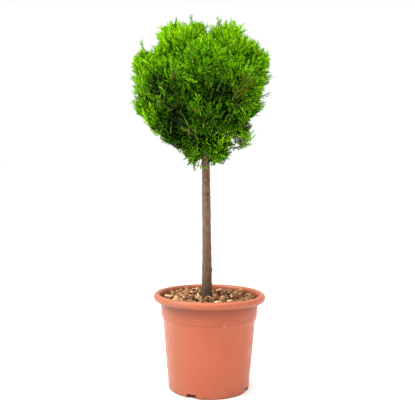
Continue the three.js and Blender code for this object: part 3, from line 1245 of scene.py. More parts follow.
@dataclass
class Bough:
    """One bough as the frame gives it, from the trunk to where it enters its mass, in millimetres."""

    mass: str
    path: np.ndarray
    radii: np.ndarray

    @staticmethod
    def from_frame(mass: str, stations: int = 4) -> "Bough":
        """Reads the centre line and taper of a mass's bough from its node.

        Args:
            mass: The mass's name.
            stations: How many rings the node's tube has.

        Returns:
            The bough, from its root to its tip.
        """
        corners = np.array([corner.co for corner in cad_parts[f"bough_{mass}"].data.vertices]) / MM
        axis = np.array((-15.0, 0.0))
        gap = np.linalg.norm(corners[:, :2] - axis, axis=1)
        root = corners[gap <= np.quantile(gap, 0.15)].mean(0)
        tip = corners[gap >= np.quantile(gap, 0.85)].mean(0)
        along = (corners - root) @ unit(tip - root)
        share = (along - along.min()) / (along.max() - along.min())
        nearest = np.rint(share * (stations - 1)).astype(int)
        groups = [corners[nearest == index] for index in range(stations) if (nearest == index).any()]
        path = np.array([group.mean(0) for group in groups])
        radii = np.array([np.linalg.norm(group - group.mean(0), axis=1).mean() for group in groups])
        return Bough(mass, path, np.minimum(radii, radii[-1] * 1.7))


@dataclass
class Boughs:
    """The limbs that leave the trunk inside the crown, joined as one barked piece."""

    masses: Sequence[str]
    sides: int = 12
    rings: int = 14

    def __post_init__(self) -> None:
        """Reads every mass's bough from the frame."""
        self.boughs = {mass: Bough.from_frame(mass) for mass in self.masses}

    def build(self) -> Piece:
        """Makes the boughs, each rooted in the trunk, and dresses them.

        Returns:
            The boughs, as one piece.
        """
        tubes = Tubes()
        for bough in self.boughs.values():
            rooted = np.concatenate([bough.path[:1] - unit(bough.path[1] - bough.path[0]) * 5, bough.path])
            radii = np.concatenate([bough.radii[:1] * 1.15, bough.radii])
            knots = np.linspace(0, 1, len(rooted))
            steps = np.linspace(0, 1, self.rings)
            path = np.stack([np.interp(steps, knots, rooted[:, axis]) for axis in range(3)], 1)
            path[1:-1] = (path[:-2] + path[1:-1] * 2 + path[2:]) / 4
            tubes.add(path, np.interp(steps, knots, radii), self.sides, 0, self.relief)
        shapes = Triangles.joined(tubes.parts)
        limbs = shapes.to_object("boughs_bark")
        ridge = limbs.data.attributes.new("ridge", "FLOAT", "POINT")
        heights = [0.5 + 0.5 * self.rise(corner) for corner in shapes.corners]
        ridge.data.foreach_set("value", np.array(heights, np.float32))
        settle(limbs, 60.0)
        bark = Bark("bough_bark", shade(74, 50, 36), shade(142, 108, 78), shade(146, 92, 60))
        nodes = [f"bough_{mass}" for mass in self.boughs]
        return place_on_frame(limbs, "bough_bark", *nodes, materials=[bark.build()])

    def rise(self, corner: np.ndarray) -> float:
        """How far the bark stands out at a corner, from -1 to 1."""
        return noise.noise(Vector(corner) * 0.35)

    def relief(self, rings: np.ndarray) -> np.ndarray:
        """The bark's relief on a tube's rings, in millimetres."""
        flat = rings.reshape(-1, 3)
        return np.array([self.rise(corner) * 0.5 for corner in flat]).reshape(rings.shape[:2])


# ---- Foliage ----


@dataclass(frozen=True)
class SprayHabit:
    """How one flat, fern-like spray is branched. Lengths are in millimetres and angles in degrees."""

    length: float = 44.0
    pairs: int = 7
    side_reach: float = 14.5
    side_angle: float = 42.0
    fork_angle: float = 42.0
    fork_places: tuple[float, float] = (0.34, 0.62)
    forked_reach: float = 6.5
    width: float = 2.3
    tip_width: float = 0.75
    twist: float = 68.0
    variants: int = 18
    # Chances of a blade lighter near the tip, fresh growth and a painted highlight, and darker near the
    # foot, older growth and painted shade.
    fresh_and_lit_tip: float = 0.85
    dull_and_shaded_foot: float = 0.7
    bow: float = 0.16
    tilt: float = 0.16
    jitter: float = 0.12
    reach_luck: tuple[float, float] = (0.82, 1.12)
    cup: tuple[float, float] = (-0.25, 0.35)
    arch: tuple[float, float] = (-0.1, 0.35)


OUTER_SPRAY = SprayHabit()
INNER_SPRAY = SprayHabit(
    length=54.0,
    pairs=6,
    side_reach=22.0,
    side_angle=46.0,
    forked_reach=10.0,
    width=3.6,
    variants=8,
    fresh_and_lit_tip=0.3,
)


class SprayBook:
    """Seeded patterns of one kind of spray, drawn as thin scaly branchlets."""

    BLADE = np.array(((0, 1, 3), (0, 3, 2)))

    def __init__(self, habit: SprayHabit, rng: np.random.Generator) -> None:
        """Draws every variant of a habit.

        Args:
            habit: How the sprays are branched.
            rng: Where their luck comes from.
        """
        self.habit = habit
        self.rng = rng
        self.patterns = [self.draw() for _ in range(habit.variants)]

    def stem(self, bow: float, share: float) -> np.ndarray:
        """The stem's point at a share of its length."""
        return np.array((bow * self.habit.length * share**2, self.habit.length * share, 0.0))

    def strokes(self) -> tuple[np.ndarray, np.ndarray, np.ndarray]:
        """Lays out one spray along +Y: three lengths of stem, then forked branchlets in pairs.

        Returns:
            The base, the tip and the width of every length.
        """
        habit, rng = self.habit, self.rng
        bow = rng.uniform(-habit.bow, habit.bow)
        drawn: list[tuple[np.ndarray, np.ndarray, float]] = []

        def branchlet(base: np.ndarray, angle: float, reach: float, width: float) -> np.ndarray:
            """Draws one branchlet.

            Args:
                base: Where it starts.
                angle: Its angle from the stem, in degrees.
                reach: Its length.
                width: Its width.

            Returns:
                Its direction.
            """
            turn = math.radians(angle)
            rise = rng.uniform(-habit.tilt, habit.tilt)
            way = unit(np.array((math.sin(turn), math.cos(turn), rise)))
            drawn.append((base, base + way * reach, width))
            return way

        for low, high in ((0.0, 0.5), (0.3, 0.8), (0.62, 1.0)):
            drawn.append((self.stem(bow, low), self.stem(bow, high), habit.width))
        for rank in range(habit.pairs):
            for side in (-1, 1):
                level = rank + 0.5 + 0.3 * side + rng.uniform(-habit.jitter, habit.jitter)
                share = max(level / habit.pairs * 0.96, 0.04)
                reach = habit.side_reach * (1 - share) ** 0.45 * min(1.0, 0.62 + 1.4 * share)
                reach *= rng.uniform(*habit.reach_luck)
                angle = side * (habit.side_angle * (1 - 0.35 * share) + rng.uniform(-7, 7))
                way = branchlet(self.stem(bow, share), angle, reach, habit.width)
                hand = rng.choice((-1, 1))
                for order, place in enumerate(habit.fork_places):
                    if reach > habit.forked_reach * (1 + order):
                        fork = habit.fork_angle * (hand if order == 0 else -hand) + rng.uniform(-8, 8)
                        start = self.stem(bow, share) + way * reach * place
                        branchlet(start, angle + fork, reach * (0.55 - 0.12 * order), habit.width * 0.9)
        bases, tips, widths = (np.array(part) for part in zip(*drawn))
        return bases, tips, widths

    def draw(self) -> tuple[np.ndarray, np.ndarray, np.ndarray]:
        """Draws one spray along +Y with its back to +Z, each length a twisted, tapering blade.

        Returns:
            Its corners, its faces and how many tints each face is off.
        """
        habit, rng = self.habit, self.rng
        bases, tips, widths = self.strokes()
        along = unit(tips - bases)
        flat = unit(np.cross(along, UP))
        twist = np.radians(rng.normal(0, habit.twist, len(bases)))[:, None]
        half = (flat * np.cos(twist) + np.cross(flat, along) * np.sin(twist)) * widths[:, None] / 2
        narrow = half * habit.tip_width
        corners = np.stack([bases - half, bases + half, tips - narrow, tips + narrow], 1).reshape(-1, 3)
        faces = (self.BLADE[None] + np.arange(len(bases))[:, None, None] * 4).reshape(-1, 3)
        cup, arch = rng.uniform(*habit.cup), rng.uniform(*habit.arch)
        corners[:, 2] += (cup * corners[:, 0] ** 2 + arch * corners[:, 1] ** 2) / habit.length
        # Lighter blades near the tip are fresh growth and painted highlight; darker ones near the foot are
        # older growth and painted shade.
        reached = np.clip(tips[:, 1] / habit.length, 0, 1)
        luck = rng.random(len(bases))
        fresh, dull = luck < habit.fresh_and_lit_tip * reached, luck > 1 - habit.dull_and_shaded_foot * (1.2 - reached)
        steps = (fresh.astype(int) - dull) * rng.choice((1, 2), size=len(bases))
        return corners, faces, np.repeat(steps, len(self.BLADE))


@dataclass
class Spray:
    """One spray where it grows: its pattern, its three axes, its foot and its tint."""

    pattern: tuple[np.ndarray, np.ndarray, np.ndarray]
    axes: np.ndarray
    foot: np.ndarray
    tint: Tint

    def triangles(self) -> Triangles:
        """Sets the pattern in its place.

        Returns:
            Its triangles in the crown.
        """
        corners, faces, steps = self.pattern
        tints = np.full(len(faces), int(self.tint))
        # Dark sprays keep their painted shade: a blade is lifted by no more steps than the spray's own
        # tint.
        if self.tint <= Tint.LIME:
            tints = np.clip(tints + np.minimum(steps, int(self.tint)), Tint.SHADE, Tint.LIME)
        return Triangles(corners @ self.axes + self.foot, faces, tints)


@dataclass
class Shoot:
    """One leafy shoot: its base and tip, the way it faces, the sky it sees and how it grows."""

    base: np.ndarray
    tip: np.ndarray
    face: np.ndarray
    exposure: float
    proud: float
    vigour: float = 0.0
    size: float = 1.0


@dataclass(frozen=True)
class Spot:
    """A round place in the crown where growth differs, in millimetres.

    Shoots fall short of the surface there. Sprays are some tints darker there, a painted shade, and
    lighter for a negative darker, a painted light. They are left out by the chance bare, or have an odd
    tint by a chance.
    """

    centre: tuple[float, float, float]
    radius: float
    short: float = 0.0
    # Painted shade in tint steps; a negative value is painted light.
    darker: float = 0.0
    bare: float = 0.0
    odd_tint: Tint | None = None
    chance: float = 0.0

    def share(self, point: np.ndarray) -> float:
        """How strongly the spot holds at a point, from 0 at its edge to 1 in its middle."""
        gap = float(np.linalg.norm(point - np.array(self.centre)))
        return 1 - smooth_share(gap, self.radius * 0.45, self.radius)


@dataclass(frozen=True)
class Cleft:
    """A gap through the crown from front to back, at a place across and a height, in millimetres."""

    across: float
    height: float
    radius: float
    bare: float = 1.0

    def holds(self, point: np.ndarray) -> bool:
        """True for a point inside the cleft."""
        return math.hypot(point[0] - self.across, point[2] - self.height) < self.radius


@dataclass(frozen=True)
class Stray:
    """A shoot that stands out of the clipped surface: its mass, tip, direction, length and size."""

    mass: str
    tip: tuple[float, float, float]
    way: tuple[float, float, float]
    length: float
    size: float = 0.36


@dataclass(frozen=True)
class GrowthHabit:
    """How shoots fill a mass. Lengths are in millimetres, angles in degrees."""

    spacing: float = 19.0
    shade_spacing: float = 32.0
    shoot_length: tuple[float, float] = (52, 84)
    spray_gap: float = 5.7
    shade_gap: float = 12.5
    spray_angle: float = 38.0
    lift_low: float = 0.05
    lift_high: float = 0.95
    outward: float = 0.62
    wander: float = 0.17
    proud: float = -3.5
    proud_spread: float = 4.5
    blend: float = 13.0
    twig_radius: float = 0.85
    inner_gap: float = 8.0
    bare_core: float = 34.0
    bare_height: tuple[float, float] = (715, 765)
    shaded: float = 0.2
    least_exposure: float = 0.03
    sky_rays: int = 24
    sky_reach: float = 260.0
    clipped: tuple[float, float] = (-10, 6)
    unclipped: float = 99.0
    vigour: float = 0.17
    # Painted shade: added to the strays' tint value, it deals them darker greens where they stand out into
    # the light.
    stray_painted_shade: float = -0.6
    stray_exposure: float = 0.8
    filling_length: tuple[float, float] = (42, 62)
    # Tint weights: a shoot's tip is fresher growth in painted light at the crown's outside, and height and
    # open sky add painted light.
    tint_foot: float = 1.05
    tint_by_share: float = 2.0
    painted_light_by_height: float = 2.2
    painted_light_by_sky: float = 1.15
    tint_luck: float = 0.25
    olive_chance: float = 0.015
    roll: float = 24.0
    cut_back: tuple[float, ...] = (1.0, 0.88, 0.76, 0.64, 0.52)
    inner_proud: float = -16.0


@dataclass(frozen=True)
class Filling:
    """Extra shoots of one mass, whose tips fill a ball in a gap beside it, in millimetres."""

    mass: str
    centre: tuple[float, float, float]
    radius: float
    count: int
    exposure: float = 0.3
    proud: float = 8.0
    lift: float = 0.35


@dataclass
class Crown:
    """The clipped head of foliage, grown mass by mass on the boughs."""

    boughs: dict[str, Bough]
    habit: GrowthHabit = GrowthHabit()
    core: tuple[float, float] = (-20.0, 0.0)
    # Each spot's darker paints shade in the crown's hollows and under its domes, and a negative darker
    # paints light.
    spots: tuple[Spot, ...] = (
        Spot((-149, -136, 836), 42, short=13, darker=4.3),
        Spot((-119, -168, 832), 30, darker=1.8),
        Spot((-158, -104, 838), 38, short=8, darker=2.8),
        Spot((-91, -138, 796), 52, short=12, darker=3.3),
        Spot((-88, -105, 752), 70, short=18, darker=2.9, bare=0.25),
        Spot((-102, -45, 738), 70, darker=2.4),
        Spot((-60, -40, 700), 50, darker=1.6),
        Spot((-44, -95, 708), 34, darker=2.2),
        Spot((-54, -140, 824), 42, short=12, darker=1.8),
        Spot((-16, -160, 872), 60, darker=0.8),
        Spot((-44, -155, 935), 34, darker=1),
        Spot((-25, -66, 988), 32, darker=1),
        Spot((-127, -80, 982), 40, darker=1.1),
        Spot((34, -160, 884), 34, darker=0.8),
        Spot((76, -155, 888), 44, darker=1.2),
        Spot((12, -166, 858), 42, darker=2),
        Spot((-42, -165, 860), 28, darker=1.7),
        Spot((-66, -162, 893), 26, darker=0.8),
        Spot((-16, -150, 782), 30, darker=1.7),
        Spot((96, -128, 792), 36, darker=1.7),
        Spot((44, -141, 783), 44, short=6, darker=2.9),
        Spot((58, -144, 783), 40, darker=1.7),
        Spot((90, -131, 780), 28, darker=1),
        Spot((66, -90, 745), 30, darker=-1),
        Spot((-119, -156, 796), 24, darker=-1.4),
        Spot((-128, -146, 866), 36, darker=1.7),
        Spot((-95, -85, 972), 34, darker=-1.8),
        Spot((-105, -100, 949), 34, darker=-1.5),
        Spot((118, -74, 926), 40, darker=-1.6),
        Spot((-10, -150, 925), 26, darker=-1),
        Spot((-75, -150, 782), 26, darker=-1.8),
        Spot((-148, -62, 944), 38, darker=-1.8),
        Spot((22, -138, 800), 52, short=12, darker=2.9),
        Spot((14, -140, 782), 46, short=6, darker=2.2),
        Spot((-10, -105, 735), 66, short=4, darker=1.6),
        Spot((78, -140, 814), 50, short=10, darker=1.6, odd_tint=Tint.OLIVE, chance=0.25),
        Spot((-44, -150, 778), 24, darker=-0.7),
        Spot((-183, -40, 798), 34, darker=1),
        Spot((-176, 0, 752), 40, short=12, darker=-2.8),
        Spot((-226, 0, 895), 50, darker=-1.6),
        Spot((-222, 0, 812), 46, darker=-1.6),
        Spot((-168, -100, 800), 34, darker=0.8),
        Spot((-156, -36, 744), 30, darker=-1.6),
        Spot((66, -70, 985), 84, darker=-0.4),
        Spot((-20, 90, 1000), 110, darker=0.9),
        Spot((-54, -105, 727), 36, darker=1.8),
        Spot((-150, -60, 930), 70, darker=-0.4),
        Spot((92, -20, 715), 60, darker=-1.3, bare=0.34),
        Spot((165, 0, 845), 50, short=9),
        Spot((30, -42, 688), 52, darker=-1.1),
        Spot((136, 0, 772), 40, short=19),
        Spot((-66, -10, 654), 34, darker=-0.9, bare=0.6),
        Spot((-47, -30, 658), 30, darker=-1.3, bare=0.65),
        Spot((-14, -34, 1019), 27, darker=-1.2, odd_tint=Tint.BRONZE, chance=0.5),
    )
    clefts: tuple[Cleft, ...] = (
        Cleft(-176, 980, 20),
        Cleft(-159, 977, 12),
        Cleft(-204, 762, 14),
        Cleft(-193, 748, 11),
        Cleft(-236, 872, 14),
        Cleft(122, 761, 12),
        Cleft(149, 983, 15),
        Cleft(140, 768, 18),
        Cleft(75, 707, 17, bare=0.85),
        Cleft(-80, 654, 14, bare=0.9),
        Cleft(-19, 664, 10),
        Cleft(-19, 652, 12),
    )
    strays: tuple[Stray, ...] = (
        Stray("top_left", (-60, -20, 1051), (-0.05, 0, 1), 46),
        Stray("top_right", (14, -20, 1046), (0, -0.1, 1), 42),
        Stray("side_left", (-197, 0, 988), (-0.1, 0, 1), 46),
        Stray("side_left", (-221, 0, 842), (-0.4, -0.1, 0.9), 42),
        Stray("side_left", (-226, -10, 816), (-0.7, -0.1, 0.7), 44),
        Stray("side_left", (-220, 10, 800), (-0.65, 0, 0.75), 40),
        Stray("low_left", (-212, -4, 784), (-0.7, 0, 0.6), 38),
        Stray("side_right", (158, 0, 962), (0.25, 0, 1), 44),
        Stray("side_right", (160, -10, 838), (0.8, -0.1, 0.35), 38),
        Stray("side_right", (152, 0, 812), (0.9, 0, 0.1), 38),
        Stray("spur_right", (122, -16, 752), (0.8, 0, 0.6), 34),
        Stray("spur_right", (112, -16, 694), (0.95, 0, 0.25), 46),
        Stray("spur_right", (98, -20, 686), (0.9, -0.1, 0.1), 44),
        Stray("spur_right", (76, -24, 708), (0.7, -0.1, 0.5), 34),
        Stray("tuft_left", (-36, -24, 632), (0.1, -0.1, -0.9), 36),
        Stray("tuft_left", (-56, -22, 642), (-0.35, -0.1, -0.8), 34),
        Stray("top_left", (-78, -98, 1000), (0.03, -0.1, 1), 56, 0.42),
        Stray("upper_front", (-12, -173, 890), (0.1, -0.6, 0.8), 54, 0.45),
        Stray("upper_front", (14, -170, 910), (0.3, -0.45, 0.85), 54, 0.45),
        Stray("upper_front", (-57, -163, 940), (-0.15, -0.1, 1), 52, 0.45),
        Stray("front_left", (-103, -165, 896), (-0.25, -0.1, 0.95), 52, 0.5),
        Stray("front_left", (-72, -160, 806), (-0.35, -0.5, 0.8), 50, 0.45),
        Stray("front_left", (-133, -158, 798), (-0.5, -0.75, 0.6), 50, 0.45),
        Stray("front_left", (-161, -138, 878), (-0.45, -0.1, 0.85), 52, 0.45),
        Stray("front_right", (-2, -163, 858), (0.15, -0.65, 0.75), 54, 0.45),
        Stray("front_right", (34, -178, 862), (0.4, -0.5, 0.8), 54, 0.45),
        Stray("front_right", (73, -176, 832), (0.4, -0.6, 0.7), 50, 0.42),
        Stray("front_right", (102, -167, 850), (0.7, -0.1, 0.7), 50, 0.42),
        Stray("top_right", (54, -103, 968), (0.35, -0.1, 0.9), 54, 0.45),
        Stray("low_front", (-40, -156, 802), (-0.25, -0.1, 0.95), 48, 0.5),
        Stray("low_front", (-8, -156, 776), (0.25, -0.4, 0.85), 52, 0.45),
        Stray("low_front", (28, -146, 764), (0.75, -0.1, 0.55), 52, 0.45),
        Stray("low_front", (-42, -138, 726), (-0.1, -0.75, 0.6), 46, 0.42),
        Stray("low_front", (-88, -136, 774), (-0.5, -0.1, 0.8), 50, 0.42),
        Stray("low_front", (32, -133, 740), (0.5, -0.55, 0.65), 46, 0.42),
        Stray("tuft_right", (31, -58, 702), (0.4, -0.5, 0.75), 40, 0.45),
        Stray("back_left", (-106, 184, 862), (-0.2, 0.5, 0.85), 52, 0.45),
        Stray("back_right", (58, 185, 872), (0.3, 0.45, 0.85), 52, 0.45),
        Stray("low_back", (-20, 167, 784), (0.1, 0.5, 0.85), 50, 0.45),
        Stray("side_right", (168, 30, 900), (0.6, 0.1, 0.8), 50, 0.45),
    )
    fillings: tuple[Filling, ...] = (
        Filling("low_left", (-104, -12, 716), 24, 16),
        Filling("low_left", (-66, -20, 738), 24, 12),
        Filling("low_left", (-122, -12, 706), 12, 7),
        Filling("top_left", (-110, -14, 1024), 12, 8, exposure=0.9, proud=6, lift=2),
        Filling("low_right", (84, -16, 756), 20, 10),
        Filling("upper_front", (-24, -50, 836), 40, 26, exposure=0.1),
        Filling("tuft_right", (6, -38, 662), 18, 14, exposure=0.6, proud=12, lift=0.1),
        Filling("tuft_left", (-24, -36, 676), 16, 10, exposure=0.5, proud=12, lift=0.1),
        Filling("tuft_left", (-47, -22, 650), 10, 4, exposure=0.5, proud=16, lift=-0.2),
        Filling("top_back", (-24, 122, 886), 20, 12, exposure=0.5, proud=4, lift=0.1),
        Filling("side_left", (-197, -4, 944), 13, 12, exposure=0.9, proud=7, lift=1),
        Filling("side_left", (-210, -4, 920), 12, 10, exposure=0.8, proud=8),
        Filling("side_left", (-203, 0, 800), 12, 12, exposure=0.8, proud=12),
        Filling("side_right", (150, 0, 940), 12, 9, exposure=0.9, proud=8),
        Filling("front_left", (-118, -120, 898), 15, 10, exposure=0.7, proud=2, lift=0.6),
        Filling("top_left", (-139, -8, 1003), 13, 12, exposure=1, proud=4),
        Filling("top_left", (-42, -12, 1023), 16, 14, exposure=0.9, proud=7, lift=2.5),
    )

    def __post_init__(self) -> None:
        """Reads the masses' surfaces from the frame and draws the spray patterns."""
        self.sprays: list[Spray] = []
        self.wood = Tubes()
        self.rng = np.random.default_rng(SEED + 2)
        self.outer = SprayBook(OUTER_SPRAY, self.rng)
        self.inner = SprayBook(INNER_SPRAY, self.rng)
        self.meshes = {mass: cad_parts[f"foliage_{mass}"].data for mass in self.boughs}
        self.trees = {mass: self.surface_tree([mass]) for mass in self.boughs}
        self.whole = self.surface_tree(list(self.boughs))
        self.boxes = {mass: np.array(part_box(f"foliage_{mass}")) / MM for mass in self.boughs}
        self.low = min(box[0][2] for box in self.boxes.values())
        self.high = max(box[1][2] for box in self.boxes.values())
        self.leaf_materials = [
            plain_material(f"leaf_{tint.name.lower()}", LEAF_COLOURS[tint], 0.55) for tint in Tint
        ]
        self.wood_materials = [
            plain_material(f"wood_{wood.name.lower()}", WOOD_COLOURS[wood], 0.8) for wood in Wood
        ]
        self.rays = [Vector(ray) for ray in unit(self.rng.normal(size=(self.habit.sky_rays, 3)))]

    # -- the surface --

    def surface_tree(self, masses: Sequence[str]) -> BVHTree:
        """Gathers the surfaces of some masses, for rays and nearest points.

        Args:
            masses: Their names.

        Returns:
            The surfaces, in millimetres.
        """
        corners, faces = [], []
        for mass in masses:
            mesh = self.meshes[mass]
            start = len(corners)
            corners += [corner.co / MM for corner in mesh.vertices]
            faces += [[index + start for index in face.vertices] for face in mesh.polygons]
        return BVHTree.FromPolygons(corners, faces)

    def outside(self, point: np.ndarray) -> float:
        """Measures how far a point lies outside the masses, with the grooves between them filled.

        Args:
            point: The point.

        Returns:
            The gap, which is below 0 inside.
        """
        blend, place, total = self.habit.blend, Vector(point), 1e-9
        for mass, tree in self.trees.items():
            low, high = self.boxes[mass]
            if (point > low - 4 * blend).all() and (point < high + 4 * blend).all():
                nearest, normal, _, gap = tree.find_nearest(place)
                side = 1 if (place - nearest).dot(normal) > 0 else -1
                total += math.exp(-side * gap / blend)
        return -blend * math.log(total)

    def inside_other(self, mass: str, point: Vector) -> bool:
        """Tests whether another mass hides a point.

        Args:
            mass: The mass that the point belongs to.
            point: The point.

        Returns:
            True if it lies inside another mass.
        """
        for other, tree in self.trees.items():
            if other != mass:
                place, normal, _, _ = tree.find_nearest(point, 12.0)
                if place is not None and (point - place).dot(normal) < 0:
                    return True
        return False

    def exposure(self, point: Vector, normal: Vector) -> float:
        """Measures the open sky over a surface.

        Args:
            point: A point just over the surface.
            normal: The surface's direction.

        Returns:
            The share of the half sky that no mass hides.
        """
        seen = [ray for ray in self.rays if ray.dot(normal) > 0.1]
        free = [ray for ray in seen if self.whole.ray_cast(point, ray, self.habit.sky_reach)[0] is None]
        return len(free) / max(len(seen), 1)

    def tips(self, mass: str) -> list[tuple[Vector, Vector, float]]:
        """Spreads points evenly over the part of a mass's surface that faces the open.

        Args:
            mass: The mass's name.

        Returns:
            Each point with its normal and exposure.
        """
        mesh, habit = self.meshes[mass], self.habit
        areas = np.array([face.area for face in mesh.polygons])
        kept: list[tuple[Vector, Vector, float]] = []
        for pick in self.rng.choice(len(areas), size=3600, p=areas / areas.sum()):
            face = mesh.polygons[int(pick)]
            a, b, c = (mesh.vertices[index].co / MM for index in face.vertices)
            u, v = sorted(self.rng.random(2))
            point = a * u + b * (v - u) + c * (1 - v)
            gap = min(((point - other).length for other, _, _ in kept), default=math.inf)
            if gap < habit.spacing:
                continue
            above = point + face.normal * 3.0
            if self.inside_other(mass, above):
                continue
            exposure = self.exposure(above, face.normal)
            spacing = habit.shade_spacing if exposure < habit.shaded else habit.spacing
            if exposure >= habit.least_exposure and gap >= spacing:
                kept.append((point, face.normal.copy(), exposure))
        return kept

    # -- shoots --

    def shoot(self, point: Vector, normal: Vector, exposure: float, reach: float) -> Shoot:
        """Grows the shoot whose tip ends at a surface point.

        Args:
            point: Where the tip comes to.
            normal: The surface's direction there.
            exposure: The share of open sky there.
            reach: The longest that it may be.

        Returns:
            The shoot, with its base inside the mass.
        """
        habit, rng = self.habit, self.rng
        outward = np.array(normal)
        lift = habit.lift_low + (habit.lift_high - habit.lift_low) * smooth_share(normal.z, -0.75, 0.15)
        way = unit(outward * habit.outward + UP * lift + rng.normal(0, habit.wander, 3))
        length = min(rng.uniform(*habit.shoot_length), reach)
        proud = float(np.clip(rng.normal(habit.proud, habit.proud_spread), *habit.clipped))
        short = max(spot.short * spot.share(np.array(point)) for spot in self.spots)
        tip = np.array(point) + outward * (proud - 3 - short)
        base = self.drawn_in(tip - way * length, tip)
        return Shoot(base, tip, self.face_of(way, outward), exposure, proud, rng.normal(0, habit.vigour))

    def face_of(self, way: np.ndarray, outward: np.ndarray) -> np.ndarray:
        """Finds the direction across a shoot that looks outwards.

        Args:
            way: The way that the shoot points.
            outward: The way out of the crown.

        Returns:
            The direction.
        """
        face = outward - way * (outward @ way)
        if np.linalg.norm(face) < 0.2:
            face = self.rng.normal(size=3)
            face -= way * (face @ way)
        return unit(face)

    def drawn_in(self, point: np.ndarray, towards: np.ndarray) -> np.ndarray:
        """Moves a point while it lies outside the masses, a little way at a time.

        Args:
            point: The point.
            towards: What it moves towards.

        Returns:
            The point where it has come to.
        """
        for _ in range(3):
            if self.near_core(point) or self.outside(point) < 2:
                break
            point = point * 0.72 + towards * 0.28
        return point

    def near_core(self, point: np.ndarray) -> bool:
        """True for a point so near the trunk that the foliage leaves it bare."""
        bare = self.habit.bare_core * (1 - 0.7 * smooth_share(point[2], *self.habit.bare_height))
        return float(np.linalg.norm(point[:2] - self.core)) < bare

    def filling_shoots(self, filling: Filling) -> list[Shoot]:
        """Grows a filling's shoots, which point away from the middle of the crown.

        Args:
            filling: The filling.

        Returns:
            Its shoots.
        """
        shoots = []
        for _ in range(filling.count):
            offset = unit(self.rng.normal(size=3)) * filling.radius * self.rng.random() ** 0.5
            tip = np.array(filling.centre) + offset
            outward = unit(np.array((*(tip[:2] - self.core), -12.0)))
            way = unit(outward * 0.7 + UP * filling.lift + self.rng.normal(0, 0.2, 3))
            base = tip - way * self.rng.uniform(*self.habit.filling_length)
            face = self.face_of(way, outward)
            shoots.append(Shoot(base, tip, face, filling.exposure, filling.proud))
        return shoots

    def stray_shoot(self, stray: Stray) -> Shoot:
        """Grows the one shoot of a stray.

        Args:
            stray: The stray.

        Returns:
            Its shoot, which isn't clipped.
        """
        habit = self.habit
        tip, way = np.array(stray.tip), unit(np.array(stray.way))
        outward = unit(np.array((*(tip[:2] - self.core), 0.0)))
        base, face = tip - way * stray.length, self.face_of(way, outward)
        growth = (habit.stray_exposure, habit.unclipped, habit.stray_painted_shade)
        return Shoot(base, tip, face, *growth, stray.size)

    # -- sprays --

    def tint(self, shoot: Shoot, place: np.ndarray, share: float) -> Tint:
        """Picks the colour of one spray.

        Args:
            shoot: The shoot that it grows on.
            place: Its foot.
            share: How far along the shoot that is, from 0 to 1.

        Returns:
            Its tint: fresher towards the tip, with painted light towards the sky and the top, and the
                spots' painted shade and painted light.
        """
        habit, rng = self.habit, self.rng
        held = [spot.share(place) for spot in self.spots]
        for spot, hold in zip(self.spots, held):
            if spot.odd_tint is not None and rng.random() < spot.chance * hold:
                return spot.odd_tint
        if rng.random() < habit.olive_chance:
            return Tint.OLIVE
        # The spots' painted shade and painted light, then the painted light of height and open sky.
        steps = [spot.darker * hold for spot, hold in zip(self.spots, held)]
        height = (place[2] - self.low) / (self.high - self.low)
        value = habit.tint_foot + habit.tint_by_share * share + habit.painted_light_by_height * height
        value = value + habit.painted_light_by_sky * shoot.exposure + shoot.vigour + rng.normal(0, habit.tint_luck)
        return Tint(int(np.clip(round(value - max(steps) - min(steps)), Tint.SHADE, Tint.LIME)))

    def room(self, foot: np.ndarray, reach: np.ndarray, proud: float) -> float:
        """Cuts a spray back until it stays within the clipped surface and out of the clefts.

        Args:
            foot: Where it grows from.
            reach: The way from there to its tip.
            proud: How far it may stand out of the surface.

        Returns:
            The share of its length that it may have, or 0 for no room.
        """
        clefts = [cleft for cleft in self.clefts if self.rng.random() < cleft.bare]
        for share in self.habit.cut_back:
            tip = foot + reach * share
            if any(cleft.holds(place) for cleft in clefts for place in (foot, (foot + tip) / 2, tip)):
                continue
            if proud == self.habit.unclipped or self.outside(tip) <= proud:
                return share
        return 0.0

    def set_spray(
        self,
        book: SprayBook,
        foot: np.ndarray,
        rachis: np.ndarray,
        normal: np.ndarray,
        size: float,
        tint: Tint,
        proud: float,
    ) -> None:
        """Sets one spray, if there is room for it.

        Args:
            book: The patterns to choose from.
            foot: Where it grows from.
            rachis: The way that it points.
            normal: The way that its back faces.
            size: Its size against the pattern.
            tint: Its colour.
            proud: How far it may stand out of the surface.
        """
        room = self.room(foot, rachis * book.habit.length * size, proud)
        if room == 0:
            return
        roll = math.radians(self.rng.normal(0, self.habit.roll))
        across = unit(np.cross(rachis, normal))
        normal = np.cross(across, rachis)
        turned = across * math.cos(roll) + normal * math.sin(roll)
        axes = np.stack([turned, rachis, np.cross(turned, rachis)]) * size * room
        pattern = book.patterns[int(self.rng.integers(len(book.patterns)))]
        self.sprays.append(Spray(pattern, axes, foot, tint))

    def leaf_out(self, shoot: Shoot) -> None:
        """Draws a shoot's stem and sets its sprays, mostly left and right with some on its face.

        Args:
            shoot: The shoot.
        """
        habit, rng = self.habit, self.rng
        length = float(np.linalg.norm(shoot.tip - shoot.base))
        way = unit(shoot.tip - shoot.base)
        side = np.cross(way, shoot.face)
        sway = side * rng.normal(0, 0.05) + shoot.face * rng.normal(0, 0.05)

        def stem(share: float) -> np.ndarray:
            """The stem's point at a share of its length."""
            return shoot.base + way * length * share + sway * length * math.sin(math.pi * share)

